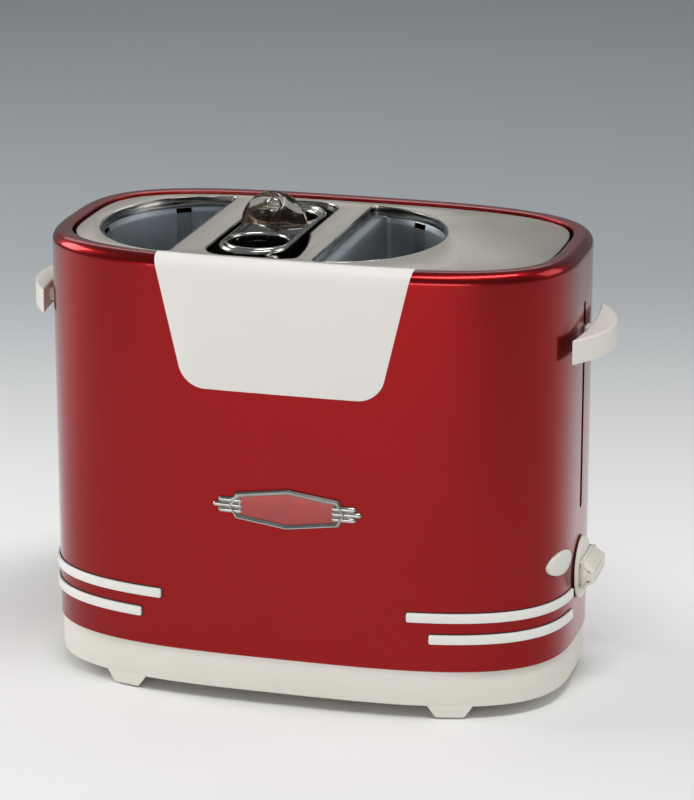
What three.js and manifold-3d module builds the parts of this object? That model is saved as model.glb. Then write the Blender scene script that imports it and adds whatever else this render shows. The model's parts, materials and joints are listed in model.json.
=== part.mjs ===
// Pop-up hot dog toaster: two half-oval bun wells, a lift-out sausage basket, a side lever on a
// sprung carriage, a browning knob, a stop button and a crumb tray. Millimetres, +Z up.
// The origin is on the floor under the middle of the body. The front faces -Y, the lever is at +X.

import * as THREE from 'three';
import { mergeVertices } from 'three/addons/utils/BufferGeometryUtils.js';
import { ParametricGeometry } from 'three/addons/geometries/ParametricGeometry.js';
import Module from 'manifold-3d';

const wasm = await Module();
wasm.setup();

// Fits that several pieces share
const seat_gap = 0.3;
const overrun = 5;

// Body: a rounded oval in plan, a superellipse with one exponent
const body_width = 290;
const body_depth = 163;
const plan_squareness_share = 3.2;
const plan_step_count = 64;
const plate_top = 244.5;
const sheet = 1.2;

// Base moulding and its feet
const foot_height = 7;
const base_height = 20;
const base_inset = 1;
const base_wall = 2.5;
const base_chamfer = 1.2;
const base_lip_height = 4;
const foot_end_margin = 54;
const foot_bottom_width = 15;
const foot_top_width = 27;
const foot_length = 25;
const pad_radius = 5.5;
const pad_thickness = 1.7;
const pad_proud = 0.8;
const pad_margin = 3;
const post_radius = 5;
const post_margin_left = 18;
const post_margin_right = 45;
const post_inset_left = 49.5;
const post_inset_right = 29.5;
const vent_width = 3;
const vent_length = 34;
const vent_pitch = 8;
const vent_count = 4;
const vent_end_margin = 79;

// Outer shell: painted sheet with a rounded shoulder and a turned-in rim
const shoulder_radius = 6;
const shoulder_step_count = 4;
const rim_rise = 1.5;
const rim_width = 5;
const rim_fall = 0.4;
const rim_lip = 5;

// Top plate with its skirt and the flanges of its openings
const rim_gap = 2;
const flange_thickness = 1;
const well_flange_drop = 5;
const chamber_flange_drop = 4;

// Basket bay and the two half-oval bun wells on either side of it
const basket_x = -27.5;
const chamber_half_width = 22;
const bay_end_margin = 19.5;
const chamber_corner = 10;
const finger_reach = 7.5;
const finger_corner = 8;
const finger_length = 30;
const finger_tail = 56;
const well_gap = 3.5;
const well_end_gap = 3;
const well_corner = 3;
const well_ledge = 7.3;
const well_step_count = 22;
const corner_step_count = 3;
const liner_wall = 1;
const liner_rim = 1.5;
const hook_slot_width = 9;
const hook_slot_height = 2.8;
const hook_slot_drop = 0.2;
const hook_slot_turns_share = [-0.33, -0.01, 0.325];
const window_end_margin = 16;
const window_rise = 33.2;
const window_drop = 58.5;

// Chassis deck, end frames and heaters
const deck_inset = 2.2;
const deck_ledge = 2;
const frame_sheet = 1.5;
const mech_frame_half = 42;
const mech_flange = 20;
const mech_slot_half = 4;
const mech_slot_margin = 5;
const left_frame_gap = 4.82;
const left_frame_half = 26;
const left_foot_reach = 11;
const left_top_reach = 2;
const standoff_length = 1.5;
const standoff_radius = 3;
const board_gap = 5.5;
const board_thickness = 0.8;
const board_end_margin = 7;
const board_drop = 16.5;
const ribbon_thickness = 0.3;
const ribbon_width = 1.6;
const ribbon_end_margin = 7;
const ribbon_under = 4;
const ribbon_top_margin = 22;
const ribbon_row_count = 13;
const guard_radius = 0.8;
const guard_over = 2;
const guard_wire_count = 6;
const guard_under = 20;
const guard_rise = 6;

// Carriage, its travel and what rides on it
const rack_drop = 94.5;
const rack_bottom = 60;
const rack_thickness = 1.5;
const rack_play = 3;
const rack_flat_inset = 11;
const rack_hole_radius = 4;
const rack_hole_margin = 28;
const rack_hole_count = 5;
const tongue_width = 6;
const tongue_play = 1;
const tongue_over = 0.5;
const tongue_slot_run = 2.5;
const bar_wall_gap = 1.81;
const bar_thickness = 2;
const bar_height = 8;
const bar_over = 8;
const plate_rod_gap = 12;
const carriage_lug_half = 16;
const carriage_lug_rise = 6;
const rod_frame_gap = 12;
const rod_side = 28;
const rod_radius = 2.5;
const bush_half = 6;
const bush_height = 20;
const bush_drop = 14;
const bush_reach = 16;
const arm_half = 1.5;
const arm_height = 9;
const keeper_half = 10;
const keeper_reach = 18;
const keeper_thickness = 2.5;
const keeper_drop = 4;
const spring_radius = 5;
const spring_wire = 0.6;
const spring_turn_count = 7;
const spring_step_count = 8;
const magnet_rod_gap = 1;
const magnet_core_radius = 4;
const magnet_coil_radius = 8;
const magnet_coil_height = 14;
const magnet_foot = 1.5;

// Side handles: crescents seen from above
const handle_height = 13.5;
const handle_half = 38.5;
const handle_stand_off = 4.5;
const handle_depth = 12.5;
const handle_tip = 1.1;
const handle_inner_bow = 3.2;
const handle_bevel = 1.2;
const handle_step_count = 16;
const handle_layer_count = 3;
const lever_drop = 46.3;
const grip_drop = 40.1;
const boss_half = 4.5;
const boss_stand_off = 0.8;
const stem_radius = 3.5;
const stem_side = 22;
const screw_radius = 2;
const screw_head_radius = 4;
const screw_head_height = 2.2;
const screw_depth = 9;
const screw_side_count = 10;
const round_side_count = 16;
const hole_side_count = 28;
const wire_side_count = 8;

// Lever slot in the shell
const slot_half = 2.5;
const slot_under = 3.7;
const slot_over = 13.3;

// Browning knob, its timer, and the stop button with its switch
const knob_height = 66.5;
const knob_radius = 17.5;
const knob_thickness = 3.6;
const knob_chamfer = 1;
const knob_stand_off = 0.6;
const knob_reach = 10.8;
const knob_grip_base = 9;
const knob_grip_top = 3.2;
const knob_grip_half = 15.5;
const knob_hub_radius = 5;
const knob_hub_depth = 8;
const knob_side_count = 32;
const timer_shaft_radius = 3;
const timer_half = 12;
const timer_depth = 13.5;
const timer_socket = 8;
const button_knob_gap = 5.1;
const button_rise = 13;
const button_half_width = 12.4;
const button_half_height = 6.6;
const button_play = 0.3;
const button_proud = 1.4;
const button_flange = 1.5;
const button_wall_gap = 1.3;
const switch_room = 19.5;
const button_stem_radius = 3;
const button_stem_length = 3.5;
const button_travel = 2.5;
const button_side_count = 28;
const switch_half = 7;
const pcb_rise = 9.2;
const pcb_height = 54;
const pcb_front = 52;
const pcb_rear = 30;
const pcb_thickness = 1.6;
const relay_height = 11;
const relay_half = 8;
const relay_gap = 2;
const capacitor_radius = 4;
const capacitor_gap = 12;

// Trim on the front: label plate, badge and stripes
const label_thickness = 1;
const label_drop = 68.5;
const label_half_top = 69.4;
const label_half_bottom = 53.3;
const label_corner = 15;
const label_plate_gap = 0.5;
const badge_x = 3.4;
const badge_height = 113;
const badge_proud = 2.2;
const badge_half_width = 32.4;
const badge_shoulder_x = 28.6;
const badge_shoulder_z = 7.4;
const badge_apex = 11.3;
const badge_frame_width = 2.2;
const badge_bar_half = 1.5;
const badge_bar_pitch = 2.9;
const badge_bar_outer = 38;
const badge_bar_middle = 41;
const badge_field_proud = 1.3;
const stripe_half = 2.6;
const stripe_proud = 1.2;
const stripe_upper_z = 58;
const stripe_pitch = 12;
const stripe_upper_margin = 77;
const stripe_lower_margin = 65;
const stripe_knob_gap = 1.5;

// Sausage basket
const basket_side_play = 3;
const basket_end_play = 8.5;
const basket_corner_share = 0.95;
const basket_rim = 4;
const basket_rim_rise = 1.6;
const basket_plate = 1.2;
const basket_plate_drop = 1;
const hole_wall = 2.6;
const hole_room_share = 0.6452;
const hole_collar = 1;
const hole_collar_rise = 1.2;
const cage_wire = 1;
const cage_wire_count = 6;
const cage_floor = 1.5;
const cage_play = 1;
const cage_drain_radius = 7;
const tab_place_share = 0.1724;
const tab_play = 0.4;
const tab_height = 19.2;
const tab_thickness = 2.4;
const rivet_height = 13.5;
const rivet_radius = 4;
const rivet_shank_radius = 1.6;
const rivet_head = 1.2;
const ear_half = 2.8;
const ear_thickness = 1;
const ear_over = 2;

// Crumb tray and the cord inlet at the rear
const tray_margin_left = 32.5;
const tray_margin_right = 87.5;
const tray_margin_front = 19.5;
const tray_height = 8;
const tray_wall = 1.2;
const tray_slot_height = 11;
const pull_half = 25;
const pull_lip_low = 3;
const pull_lip_high = 8;
const gland_end_margin = 59;
const gland_radius = 8;
const gland_neck_radius = 5.5;
const gland_bore_radius = 3.4;
const gland_flange = 2;
const gland_depth = 8;

// Half the body's depth at a place along it, and half its width at a place across it
const half_width = body_width / 2;
const half_depth = body_depth / 2;

function otherHalf(place, half, other) {
  const power = plan_squareness_share;
  return other * (1 - (Math.abs(place) / half) ** power) ** (1 / power);
}

// Levels worked out from the sizes above
const base_low = foot_height;
const base_top = base_low + base_height;
const floor_top = base_low + base_wall;
const gland_height = base_low + base_height / 2;
const stripe_lower_z = stripe_upper_z - stripe_pitch;
const button_height = stripe_upper_z + stripe_half + button_rise + button_half_height;
const shell_low = base_top + seat_gap;
const rim_top = plate_top + rim_rise;
const shoulder_low = rim_top - shoulder_radius;
const deck_low = base_top + base_lip_height + seat_gap;
const deck_top = deck_low + sheet;
const on_deck = deck_top + seat_gap;
const flange_top = on_deck + frame_sheet;
const plate_low = plate_top - sheet;
const under_plate = plate_low - seat_gap;
const liner_top = plate_top - well_flange_drop - seat_gap;
const chamber_top = plate_top - chamber_flange_drop - seat_gap;
const window_low = on_deck + window_rise;
const window_high = plate_top - window_drop;
const guard_low = window_low - guard_under;
const guard_high = window_high + guard_rise;
const board_top = plate_top - board_drop;
const ribbon_low = window_low - ribbon_under;
const ribbon_pitch = (board_top - ribbon_top_margin - ribbon_low) / (ribbon_row_count - 1);
const pcb_low = on_deck + pcb_rise;
const pcb_high = pcb_low + pcb_height;
const label_low = plate_top - label_drop;
const rack_top = plate_top - rack_drop;
const rack_low = rack_top - rack_thickness;
const carriage_travel = rack_top - rack_bottom;
const bar_top = rack_low - seat_gap;
const bar_low = bar_top - bar_height;
const bush_top = bar_top + bush_half;
const bush_low = bush_top - bush_height;
const keeper_low = bar_top - keeper_drop;
const lever_mid = plate_top - lever_drop;
const grip_mid = plate_top - grip_drop;
const lever_low = lever_mid - handle_height / 2;
const grip_low = grip_mid - handle_height / 2;
const arm_low = lever_mid - arm_height / 2;
const arm_top = lever_mid + arm_height / 2;
const slot_low = arm_low - carriage_travel - slot_under;
const slot_high = arm_top + slot_over;
const side_slot_low = rack_low - carriage_travel - tongue_slot_run;
const side_slot_high = rack_top + tongue_slot_run;
const basket_seat = rack_top + seat_gap;
const basket_plate_top = plate_top - basket_plate_drop;

// Places across the body, from the bay outwards
const rim_inner = shoulder_radius + rim_width;
const plate_inset = rim_inner + rim_gap;
const board_offset = chamber_half_width + finger_reach + liner_wall + board_gap;
const well_offset = board_offset + well_gap;
const left_frame_x = otherHalf(left_frame_half, half_depth, half_width)
  - plate_inset - flange_thickness - left_frame_gap;
const well_reach = left_frame_x + basket_x - well_offset - well_end_gap;
const well_half = half_depth - bay_end_margin;
const chamber_half_length = half_depth - bay_end_margin;
const finger_bend = chamber_half_length - finger_length;
const finger_start = chamber_half_length - finger_tail;
const window_half = well_half - window_end_margin;
const guard_half = window_half + guard_over;
const board_half = well_half - board_end_margin;
const ribbon_half = board_half - ribbon_end_margin;
const rack_hole_pitch = 2 * (well_half - rack_hole_margin) / (rack_hole_count - 1);
const basket_half_width = chamber_half_width - basket_side_play;
const basket_half_length = chamber_half_length - basket_end_play;
const basket_corner = basket_corner_share * basket_half_width;
const hole_radius = basket_half_width - hole_wall;
const cage_floor_radius = basket_half_width - cage_play;
const hole_room = basket_half_length - basket_rim / 2 - 2 * cage_floor_radius;
const hole_side = cage_floor_radius + hole_room_share * hole_room;
const tab_half = basket_half_width - tab_play;
const tab_y = tab_place_share * (hole_side - hole_radius);

// Places at the two ends, under the bay and in the base
const button_side = knob_radius + button_knob_gap + button_half_width;
const button_flange_reach = button_side + button_half_width + button_flange;
const button_flange_x = otherHalf(button_flange_reach, half_depth, half_width)
  - sheet - button_wall_gap - button_flange;
const mech_frame_x = button_flange_x - switch_room;
const mech_front = mech_frame_x - mech_flange;
const rod_x = mech_frame_x - rod_frame_gap;
const magnet_x = rod_x - magnet_rod_gap;
const carriage_plate_x = rod_x - plate_rod_gap;
const carriage_back = carriage_plate_x + bar_thickness;
const pcb_x = mech_frame_x + frame_sheet + standoff_length + seat_gap;
const pcb_face = pcb_x + pcb_thickness;
const bar_left = well_offset + rack_flat_inset + tongue_width - basket_x + bar_over;
const bar_reach = Math.max(bar_left, carriage_back);
const bar_side = otherHalf(bar_reach, half_width, half_depth) - sheet - bar_wall_gap - bar_thickness;
const tongue_end = bar_side + bar_thickness + tongue_over;
const handle_inner = half_width + handle_stand_off;
const handle_outer = handle_inner + handle_depth;
const handle_outer_bow = handle_depth + handle_inner_bow - handle_tip;
const relay_side = timer_half + relay_gap + relay_half / 2;
const foot_spread = half_width - foot_end_margin;
const post_spread_left = half_width - post_margin_left;
const post_spread_right = half_width - post_margin_right;
const post_side_left = half_depth - post_inset_left;
const post_side_right = half_depth - post_inset_right;
const vent_start = half_width - vent_end_margin;
const tray_left = half_width - tray_margin_left;
const tray_right = half_width - tray_margin_right;
const tray_front = half_depth - tray_margin_front;
const pull_reach = half_depth + badge_proud;
const gland_x = half_width - gland_end_margin;
const stripe_upper_start = half_width - stripe_upper_margin;
const stripe_lower_start = half_width - stripe_lower_margin;
const stripe_end_side = knob_radius + stripe_knob_gap;

// Materials, with the colours of the finished toaster
function material(color, roughness, metalness) {
  return new THREE.MeshStandardMaterial({ color, roughness, metalness });
}
const cream_plastic = material('#dcd8cd', 0.35, 0);
const red_enamel = material('#8c1a1c', 0.25, 0.3);
const satin_steel = material('#a9a69c', 0.4, 0.9);
const aluminised_steel = material('#6d7880', 0.5, 0.8);
const galvanised_steel = material('#9a9da0', 0.45, 0.8);
const chrome = material('#cfd1d2', 0.12, 1);
const white_inlay = material('#efece6', 0.4, 0);
const badge_red = material('#a8302c', 0.25, 0.2);
const smoked_plastic = material('#3a332e', 0.15, 0);
const black_rubber = material('#23211f', 0.8, 0);
const black_plastic = material('#1d1c1b', 0.5, 0);
const mica = material('#b9a98a', 0.7, 0);
const heater_alloy = material('#77706a', 0.5, 0.7);
const spring_steel = material('#8b8e90', 0.35, 0.9);
const board_green = material('#2e5a3a', 0.6, 0);
const copper = material('#a8623a', 0.4, 0.8);

const toaster = new THREE.Group();

// Solids: a closed geometry becomes a manifold, and a manifold becomes a named mesh
function signedVolume(position, index) {
  const corners = [0, 1, 2].map(() => new THREE.Vector3());
  let total = 0;
  for (let i = 0; i < index.length; i += 3) {
    corners.forEach((corner, k) => corner.fromArray(position, 3 * index[i + k]));
    total += corners[0].dot(corners[1].clone().cross(corners[2]));
  }
  return total;
}

function solid(geometry) {
  const bare = geometry.clone();
  bare.deleteAttribute('normal');
  bare.deleteAttribute('uv');
  const merged = mergeVertices(bare);
  const position = new Float32Array(merged.attributes.position.array);
  const source = merged.index.array;
  const kept = [];
  for (let i = 0; i < source.length; i += 3) {
    const [a, b, c] = [source[i], source[i + 1], source[i + 2]];
    if (a !== b && b !== c && c !== a) kept.push(a, b, c);
  }
  if (signedVolume(position, kept) < 0) kept.reverse();
  const mesh = new wasm.Mesh({ numProp: 3, vertProperties: position, triVerts: new Uint32Array(kept) });
  return new wasm.Manifold(mesh);
}

function join(...solids) {
  return solids.reduce((whole, piece) => whole.add(piece));
}

function cut(whole, ...tools) {
  return tools.reduce((left, tool) => left.subtract(tool), whole);
}

function add(name, shape, look) {
  const { vertProperties, triVerts } = shape.getMesh();
  const geometry = new THREE.BufferGeometry();
  geometry.setAttribute('position', new THREE.BufferAttribute(new Float32Array(vertProperties), 3));
  geometry.setIndex(new THREE.BufferAttribute(new Uint32Array(triVerts), 1));
  geometry.computeVertexNormals();
  const mesh = new THREE.Mesh(geometry, look);
  mesh.name = name;
  toaster.add(mesh);
}

// Blocks, rods and extrusions, placed by their limits
function block(x, y, z) {
  const box = new THREE.BoxGeometry(x[1] - x[0], y[1] - y[0], z[1] - z[0]);
  box.translate((x[0] + x[1]) / 2, (y[0] + y[1]) / 2, (z[0] + z[1]) / 2);
  return solid(box);
}

function rodZ(x, y, low, high, radius, sides = round_side_count) {
  const rod = new THREE.CylinderGeometry(radius, radius, high - low, sides);
  return solid(rod.rotateX(Math.PI / 2).translate(x, y, (low + high) / 2));
}

function rodX(low, high, y, z, radius, sides = round_side_count) {
  const rod = new THREE.CylinderGeometry(radius, radius, high - low, sides);
  return solid(rod.rotateZ(Math.PI / 2).translate((low + high) / 2, y, z));
}

function rodY(x, low, high, z, radius, sides = round_side_count) {
  const rod = new THREE.CylinderGeometry(radius, radius, high - low, sides);
  return solid(rod.translate(x, (low + high) / 2, z));
}

const along_x = new THREE.Matrix4().makeBasis(
  new THREE.Vector3(0, 1, 0), new THREE.Vector3(0, 0, 1), new THREE.Vector3(1, 0, 0));
const along_y = new THREE.Matrix4().makeBasis(
  new THREE.Vector3(1, 0, 0), new THREE.Vector3(0, 0, 1), new THREE.Vector3(0, -1, 0));

function extrude(shape, depth) {
  return new THREE.ExtrudeGeometry(shape, { depth, bevelEnabled: false, curveSegments: 5 });
}

function extrudeZ(shape, low, high) {
  return solid(extrude(shape, high - low).translate(0, 0, low));
}

// The outline is drawn in Y and Z
function extrudeX(shape, low, high) {
  return solid(extrude(shape, high - low).applyMatrix4(along_x).translate(low, 0, 0));
}

// The outline is drawn in X and Z
function extrudeY(shape, low, high) {
  return solid(extrude(shape, high - low).applyMatrix4(along_y).translate(0, high, 0));
}

function polygon(points) {
  return new THREE.Shape(points.map(([x, y]) => new THREE.Vector2(x, y)));
}

// A rectangle with round corners, by its limits
function roundedRectangle(x, y, radius) {
  const shape = new THREE.Shape();
  shape.moveTo(x[0] + radius, y[0]);
  shape.lineTo(x[1] - radius, y[0]);
  shape.absarc(x[1] - radius, y[0] + radius, radius, -Math.PI / 2, 0);
  shape.lineTo(x[1], y[1] - radius);
  shape.absarc(x[1] - radius, y[1] - radius, radius, 0, Math.PI / 2);
  shape.lineTo(x[0] + radius, y[1]);
  shape.absarc(x[0] + radius, y[1] - radius, radius, Math.PI / 2, Math.PI);
  shape.lineTo(x[0], y[0] + radius);
  shape.absarc(x[0] + radius, y[0] + radius, radius, Math.PI, 1.5 * Math.PI);
  return shape;
}

// The body's plan: a point at a turn round the oval, moved inwards along the normal
function planPoint(turn, inset) {
  const power = plan_squareness_share;
  const angle = 2 * Math.PI * turn;
  const c = Math.cos(angle);
  const s = Math.sin(angle);
  const reach = (Math.abs(c) ** power + Math.abs(s) ** power) ** (-1 / power);
  const normal = new THREE.Vector2(
    Math.sign(c) * Math.abs(reach * c) ** (power - 1) / half_width,
    Math.sign(s) * Math.abs(reach * s) ** (power - 1) / half_depth).normalize();
  return new THREE.Vector2(half_width * reach * c, half_depth * reach * s).addScaledVector(normal, -inset);
}

function planPrism(inset, low, high) {
  const points = [];
  for (let i = 0; i < plan_step_count; i += 1) points.push(planPoint(i / plan_step_count, inset));
  return extrudeZ(new THREE.Shape(points), low, high);
}

// A closed profile of [inset, height] points carried round the plan
function planRing(profile) {
  const count = profile.length;
  const surface = (u, v, target) => {
    const [inset, height] = profile[Math.round(v * count) % count];
    const turn = Math.round(u * plan_step_count) % plan_step_count / plan_step_count;
    const point = planPoint(turn, inset);
    target.set(point.x, point.y, height);
  };
  return solid(new ParametricGeometry(surface, plan_step_count, count));
}

// A band that stands on the shell's wall, between two heights
function wallBand(proud, low, high) {
  return planRing([[-seat_gap, low], [-seat_gap, high], [-seat_gap - proud, high], [-seat_gap - proud, low]]);
}

// The shoulder's quarter round, from the wall to the rim, at a distance outside the shell
function shoulderArc(outside) {
  const points = [];
  for (let i = 0; i <= shoulder_step_count; i += 1) {
    const angle = Math.PI / 2 * i / shoulder_step_count;
    const radius = shoulder_radius + outside;
    points.push([shoulder_radius - radius * Math.cos(angle), shoulder_low + radius * Math.sin(angle)]);
  }
  return points;
}

// A well's half oval: side is -1 or 1, grow widens it, ledge moves its flat side in
function wellShape(side, grow, ledge = 0) {
  const reach = well_reach + grow;
  const half = well_half + grow;
  const flat = ledge - grow;
  const fillet = flat + well_corner;
  const meet = half * Math.sqrt(1 - (fillet / reach) ** 2);
  const swing = Math.acos(fillet / reach);
  const points = [];
  for (let i = 0; i <= well_step_count; i += 1) {
    const angle = swing * (2 * i / well_step_count - 1);
    points.push([reach * Math.cos(angle), half * Math.sin(angle)]);
  }
  for (const end of [1, -1]) {
    for (let i = 0; i <= corner_step_count; i += 1) {
      const angle = Math.PI / 2 * (end > 0 ? 1 + i / corner_step_count : 2 + i / corner_step_count);
      const y = end * (meet - well_corner) + well_corner * Math.sin(angle);
      points.push([fillet + well_corner * Math.cos(angle), y]);
    }
  }
  return polygon(points.map(([x, y]) => [basket_x + side * (well_offset + x), y]));
}

// The basket bay's outline, wider at the front right for a finger
function chamberShape(grow) {
  const half = chamber_half_width + grow;
  const end = chamber_half_length + grow;
  const finger = half + finger_reach;
  const shape = new THREE.Shape();
  shape.moveTo(basket_x - half + chamber_corner, -end);
  shape.lineTo(basket_x + finger - finger_corner, -end);
  shape.quadraticCurveTo(basket_x + finger, -end, basket_x + finger, finger_corner - end);
  shape.quadraticCurveTo(basket_x + finger, -finger_bend, basket_x + half, -finger_start);
  shape.lineTo(basket_x + half, end - chamber_corner);
  shape.absarc(basket_x + half - chamber_corner, end - chamber_corner, chamber_corner, 0, Math.PI / 2);
  shape.lineTo(basket_x - half + chamber_corner, end);
  shape.absarc(basket_x - half + chamber_corner, end - chamber_corner, chamber_corner, Math.PI / 2, Math.PI);
  shape.lineTo(basket_x - half, chamber_corner - end);
  shape.absarc(basket_x - half + chamber_corner, chamber_corner - end, chamber_corner, Math.PI, 1.5 * Math.PI);
  return shape;
}

const sides = { left: -1, right: 1 };

// Base moulding: oval tray with four feet, deck posts, vents, the tray slot and the cord hole
function makeBase() {
  const inner = base_inset + base_wall;
  const lip_outer = sheet + seat_gap;
  const wall = planRing([
    [base_inset + base_chamfer, base_low], [base_inset, base_low + base_chamfer],
    [base_inset, base_top], [lip_outer, base_top],
    [lip_outer, base_top + base_lip_height], [inner, base_top + base_lip_height],
    [inner, floor_top], [inner + base_chamfer, floor_top], [inner + base_chamfer, base_low]]);
  const floor = planPrism(inner + base_wall, base_low, floor_top);
  const inside = planPrism(base_inset, 0, floor_top);
  const foot_low = pad_proud;
  const feet = [];
  const recesses = [];
  for (const x of [-foot_spread, foot_spread]) {
    for (const side of [-1, 1]) {
      const outline = polygon([
        [x - foot_bottom_width / 2, foot_low], [x + foot_bottom_width / 2, foot_low],
        [x + foot_top_width / 2, floor_top], [x - foot_top_width / 2, floor_top]]);
      const outer = side * half_depth;
      const inner_edge = side * (half_depth - foot_length - base_chamfer);
      const limits = [Math.min(outer, inner_edge), Math.max(outer, inner_edge)];
      feet.push(extrudeY(outline, ...limits).intersect(inside));
      recesses.push(rodZ(x, side * padSide(), 0, pad_thickness + seat_gap, pad_radius + seat_gap));
    }
  }
  const posts = [];
  for (const side of [-1, 1]) {
    posts.push(rodZ(-post_spread_left, side * post_side_left, base_low, deck_low - seat_gap, post_radius));
    posts.push(rodZ(post_spread_right, side * post_side_right, base_low, deck_low - seat_gap, post_radius));
  }
  const vents = [];
  for (let i = 0; i < vent_count; i += 1) {
    const x = vent_start + i * vent_pitch;
    vents.push(block([x, x + vent_width], [-vent_length / 2, vent_length / 2], [0, floor_top + overrun]));
  }
  const play = seat_gap;
  const tray_slot = block(
    [-tray_left - play, tray_right + play], [tray_front, body_depth],
    [floor_top, floor_top + tray_slot_height]);
  const cord_hole = rodY(gland_x, half_depth / 2, body_depth, gland_height, gland_neck_radius + seat_gap);
  return cut(join(wall, floor, ...feet, ...posts), ...recesses, ...vents, tray_slot, cord_hole);
}

function padSide() {
  return half_depth - base_chamfer - foot_length + pad_radius + pad_margin;
}

add('base', makeBase(), cream_plastic);

// Rubber pads let into the feet
for (const [end, x] of Object.entries({ left: -foot_spread, right: foot_spread })) {
  for (const [face, side] of Object.entries({ front: -1, rear: 1 })) {
    add(`rubber_pad_${face}_${end}`, rodZ(x, side * padSide(), 0, pad_thickness, pad_radius), black_rubber);
  }
}

// Outer shell: the wall, the shoulder and the rim that turns down beside the top plate
function makeShell() {
  const profile = [
    [0, shell_low], ...shoulderArc(0),
    [rim_inner, rim_top - rim_fall], [rim_inner, rim_top - rim_fall - rim_lip],
    [rim_inner - sheet, rim_top - rim_fall - rim_lip], [rim_inner - sheet, rim_top - rim_fall - sheet],
    ...shoulderArc(-sheet).reverse(), [sheet, shell_low]];
  const through = [half_width - shoulder_radius - overrun, half_width + overrun];
  const lever_slot = block(through, [-slot_half, slot_half], [slot_low, slot_high]);
  const knob_hole = rodX(...through, 0, knob_height, knob_hub_radius + 2 * seat_gap);
  const button_hole = buttonPrism(button_play, button_flange_x, half_width + overrun);
  const stem_holes = [-stem_side, stem_side].map((y) =>
    rodX(-half_width - overrun, -half_width + shoulder_radius + overrun, y, grip_mid, stem_radius + seat_gap));
  return cut(planRing(profile), lever_slot, knob_hole, button_hole, ...stem_holes);
}

// The stop button's oval, along X
function buttonPrism(grow, low, high) {
  const oval = new THREE.CylinderGeometry(1, 1, high - low, button_side_count).rotateZ(Math.PI / 2);
  oval.scale(1, button_half_width + grow, button_half_height + grow);
  return solid(oval.translate((low + high) / 2, -button_side, button_height));
}

add('outer_shell', makeShell(), red_enamel);

// Top plate: oval sheet with a skirt, two well openings and the basket opening, all flanged
function makeTopPlate() {
  const skirt_low = plate_top - well_flange_drop;
  const skirt = planRing([
    [plate_inset, skirt_low], [plate_inset, plate_top],
    [plate_inset + flange_thickness, plate_top], [plate_inset + flange_thickness, skirt_low]]);
  const pieces = [planPrism(plate_inset + flange_thickness / 2, plate_low, plate_top), skirt];
  const openings = [];
  for (const side of Object.values(sides)) {
    pieces.push(extrudeZ(wellShape(side, flange_thickness), plate_top - well_flange_drop, plate_top));
    openings.push(extrudeZ(wellShape(side, 0), plate_top - well_flange_drop - overrun, plate_top + overrun));
  }
  pieces.push(extrudeZ(chamberShape(flange_thickness), plate_top - chamber_flange_drop, plate_top));
  openings.push(extrudeZ(chamberShape(0), plate_top - chamber_flange_drop - overrun, plate_top + overrun));
  return cut(join(...pieces), ...openings);
}

add('top_plate', makeTopPlate(), satin_steel);

// Label plate: follows the wall, the shoulder and the rim on the front
function makeLabel() {
  const outside = seat_gap + label_thickness;
  const plate_edge = plate_inset - label_plate_gap;
  const rim_level = rim_top + seat_gap;
  const band = planRing([
    [-outside, label_low - overrun], ...shoulderArc(outside), [plate_edge, rim_level + label_thickness],
    [plate_edge, rim_level], ...shoulderArc(seat_gap).reverse(), [-seat_gap, label_low - overrun]]);
  const lean = (label_half_top - label_half_bottom) / (plate_top - label_low);
  const head = label_half_top + lean * (shoulder_radius + overrun);
  const outline = new THREE.Shape();
  outline.moveTo(head, plate_top + shoulder_radius + overrun);
  outline.lineTo(-head, plate_top + shoulder_radius + overrun);
  outline.lineTo(-label_half_bottom - lean * label_corner, label_low + label_corner);
  outline.quadraticCurveTo(-label_half_bottom, label_low, label_corner - label_half_bottom, label_low);
  outline.lineTo(label_half_bottom - label_corner, label_low);
  outline.quadraticCurveTo(
    label_half_bottom, label_low, label_half_bottom + lean * label_corner, label_low + label_corner);
  return band.intersect(extrudeY(outline, -body_depth, 0));
}

add('label_plate', makeLabel(), cream_plastic);

// Badge: a long eight-sided frame with three bars at each end, and a field inside it
function badgeOutline(shrink) {
  const quarter = [
    [badge_half_width - shrink, 0], [badge_shoulder_x - shrink, badge_shoulder_z - shrink],
    [0, badge_apex - shrink]];
  const upper = [...quarter, ...quarter.slice(0, -1).reverse().map(([x, z]) => [-x, z])];
  const lower = upper.slice(1, -1).reverse().map(([x, z]) => [x, -z]);
  return polygon([...upper, ...lower].map(([x, z]) => [badge_x + x, badge_height + z]));
}

function makeBadgeFrame() {
  const low = badge_height - badge_apex - overrun;
  const high = badge_height + badge_apex + overrun;
  const bars = [];
  for (const row of [-1, 0, 1]) {
    const reach = row === 0 ? badge_bar_middle : badge_bar_outer;
    const middle = badge_height + row * badge_bar_pitch;
    for (const end of [-1, 1]) {
      const near = badge_x + end * (badge_shoulder_x - badge_frame_width);
      const far = badge_x + end * reach;
      bars.push(block(
        [Math.min(near, far), Math.max(near, far)], [-body_depth, 0],
        [middle - badge_bar_half, middle + badge_bar_half]));
    }
  }
  const frame = join(extrudeY(badgeOutline(0), -body_depth, 0), ...bars);
  const open = cut(frame, extrudeY(badgeOutline(badge_frame_width), -body_depth - overrun, overrun));
  return wallBand(badge_proud - seat_gap, low, high).intersect(open);
}

function makeBadgeField() {
  const low = badge_height - badge_apex - overrun;
  const high = badge_height + badge_apex + overrun;
  const field = extrudeY(badgeOutline(badge_frame_width + seat_gap), -body_depth, 0);
  return wallBand(badge_field_proud, low, high).intersect(field);
}

add('badge_frame', makeBadgeFrame(), chrome);
add('badge_field', makeBadgeField(), badge_red);

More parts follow.
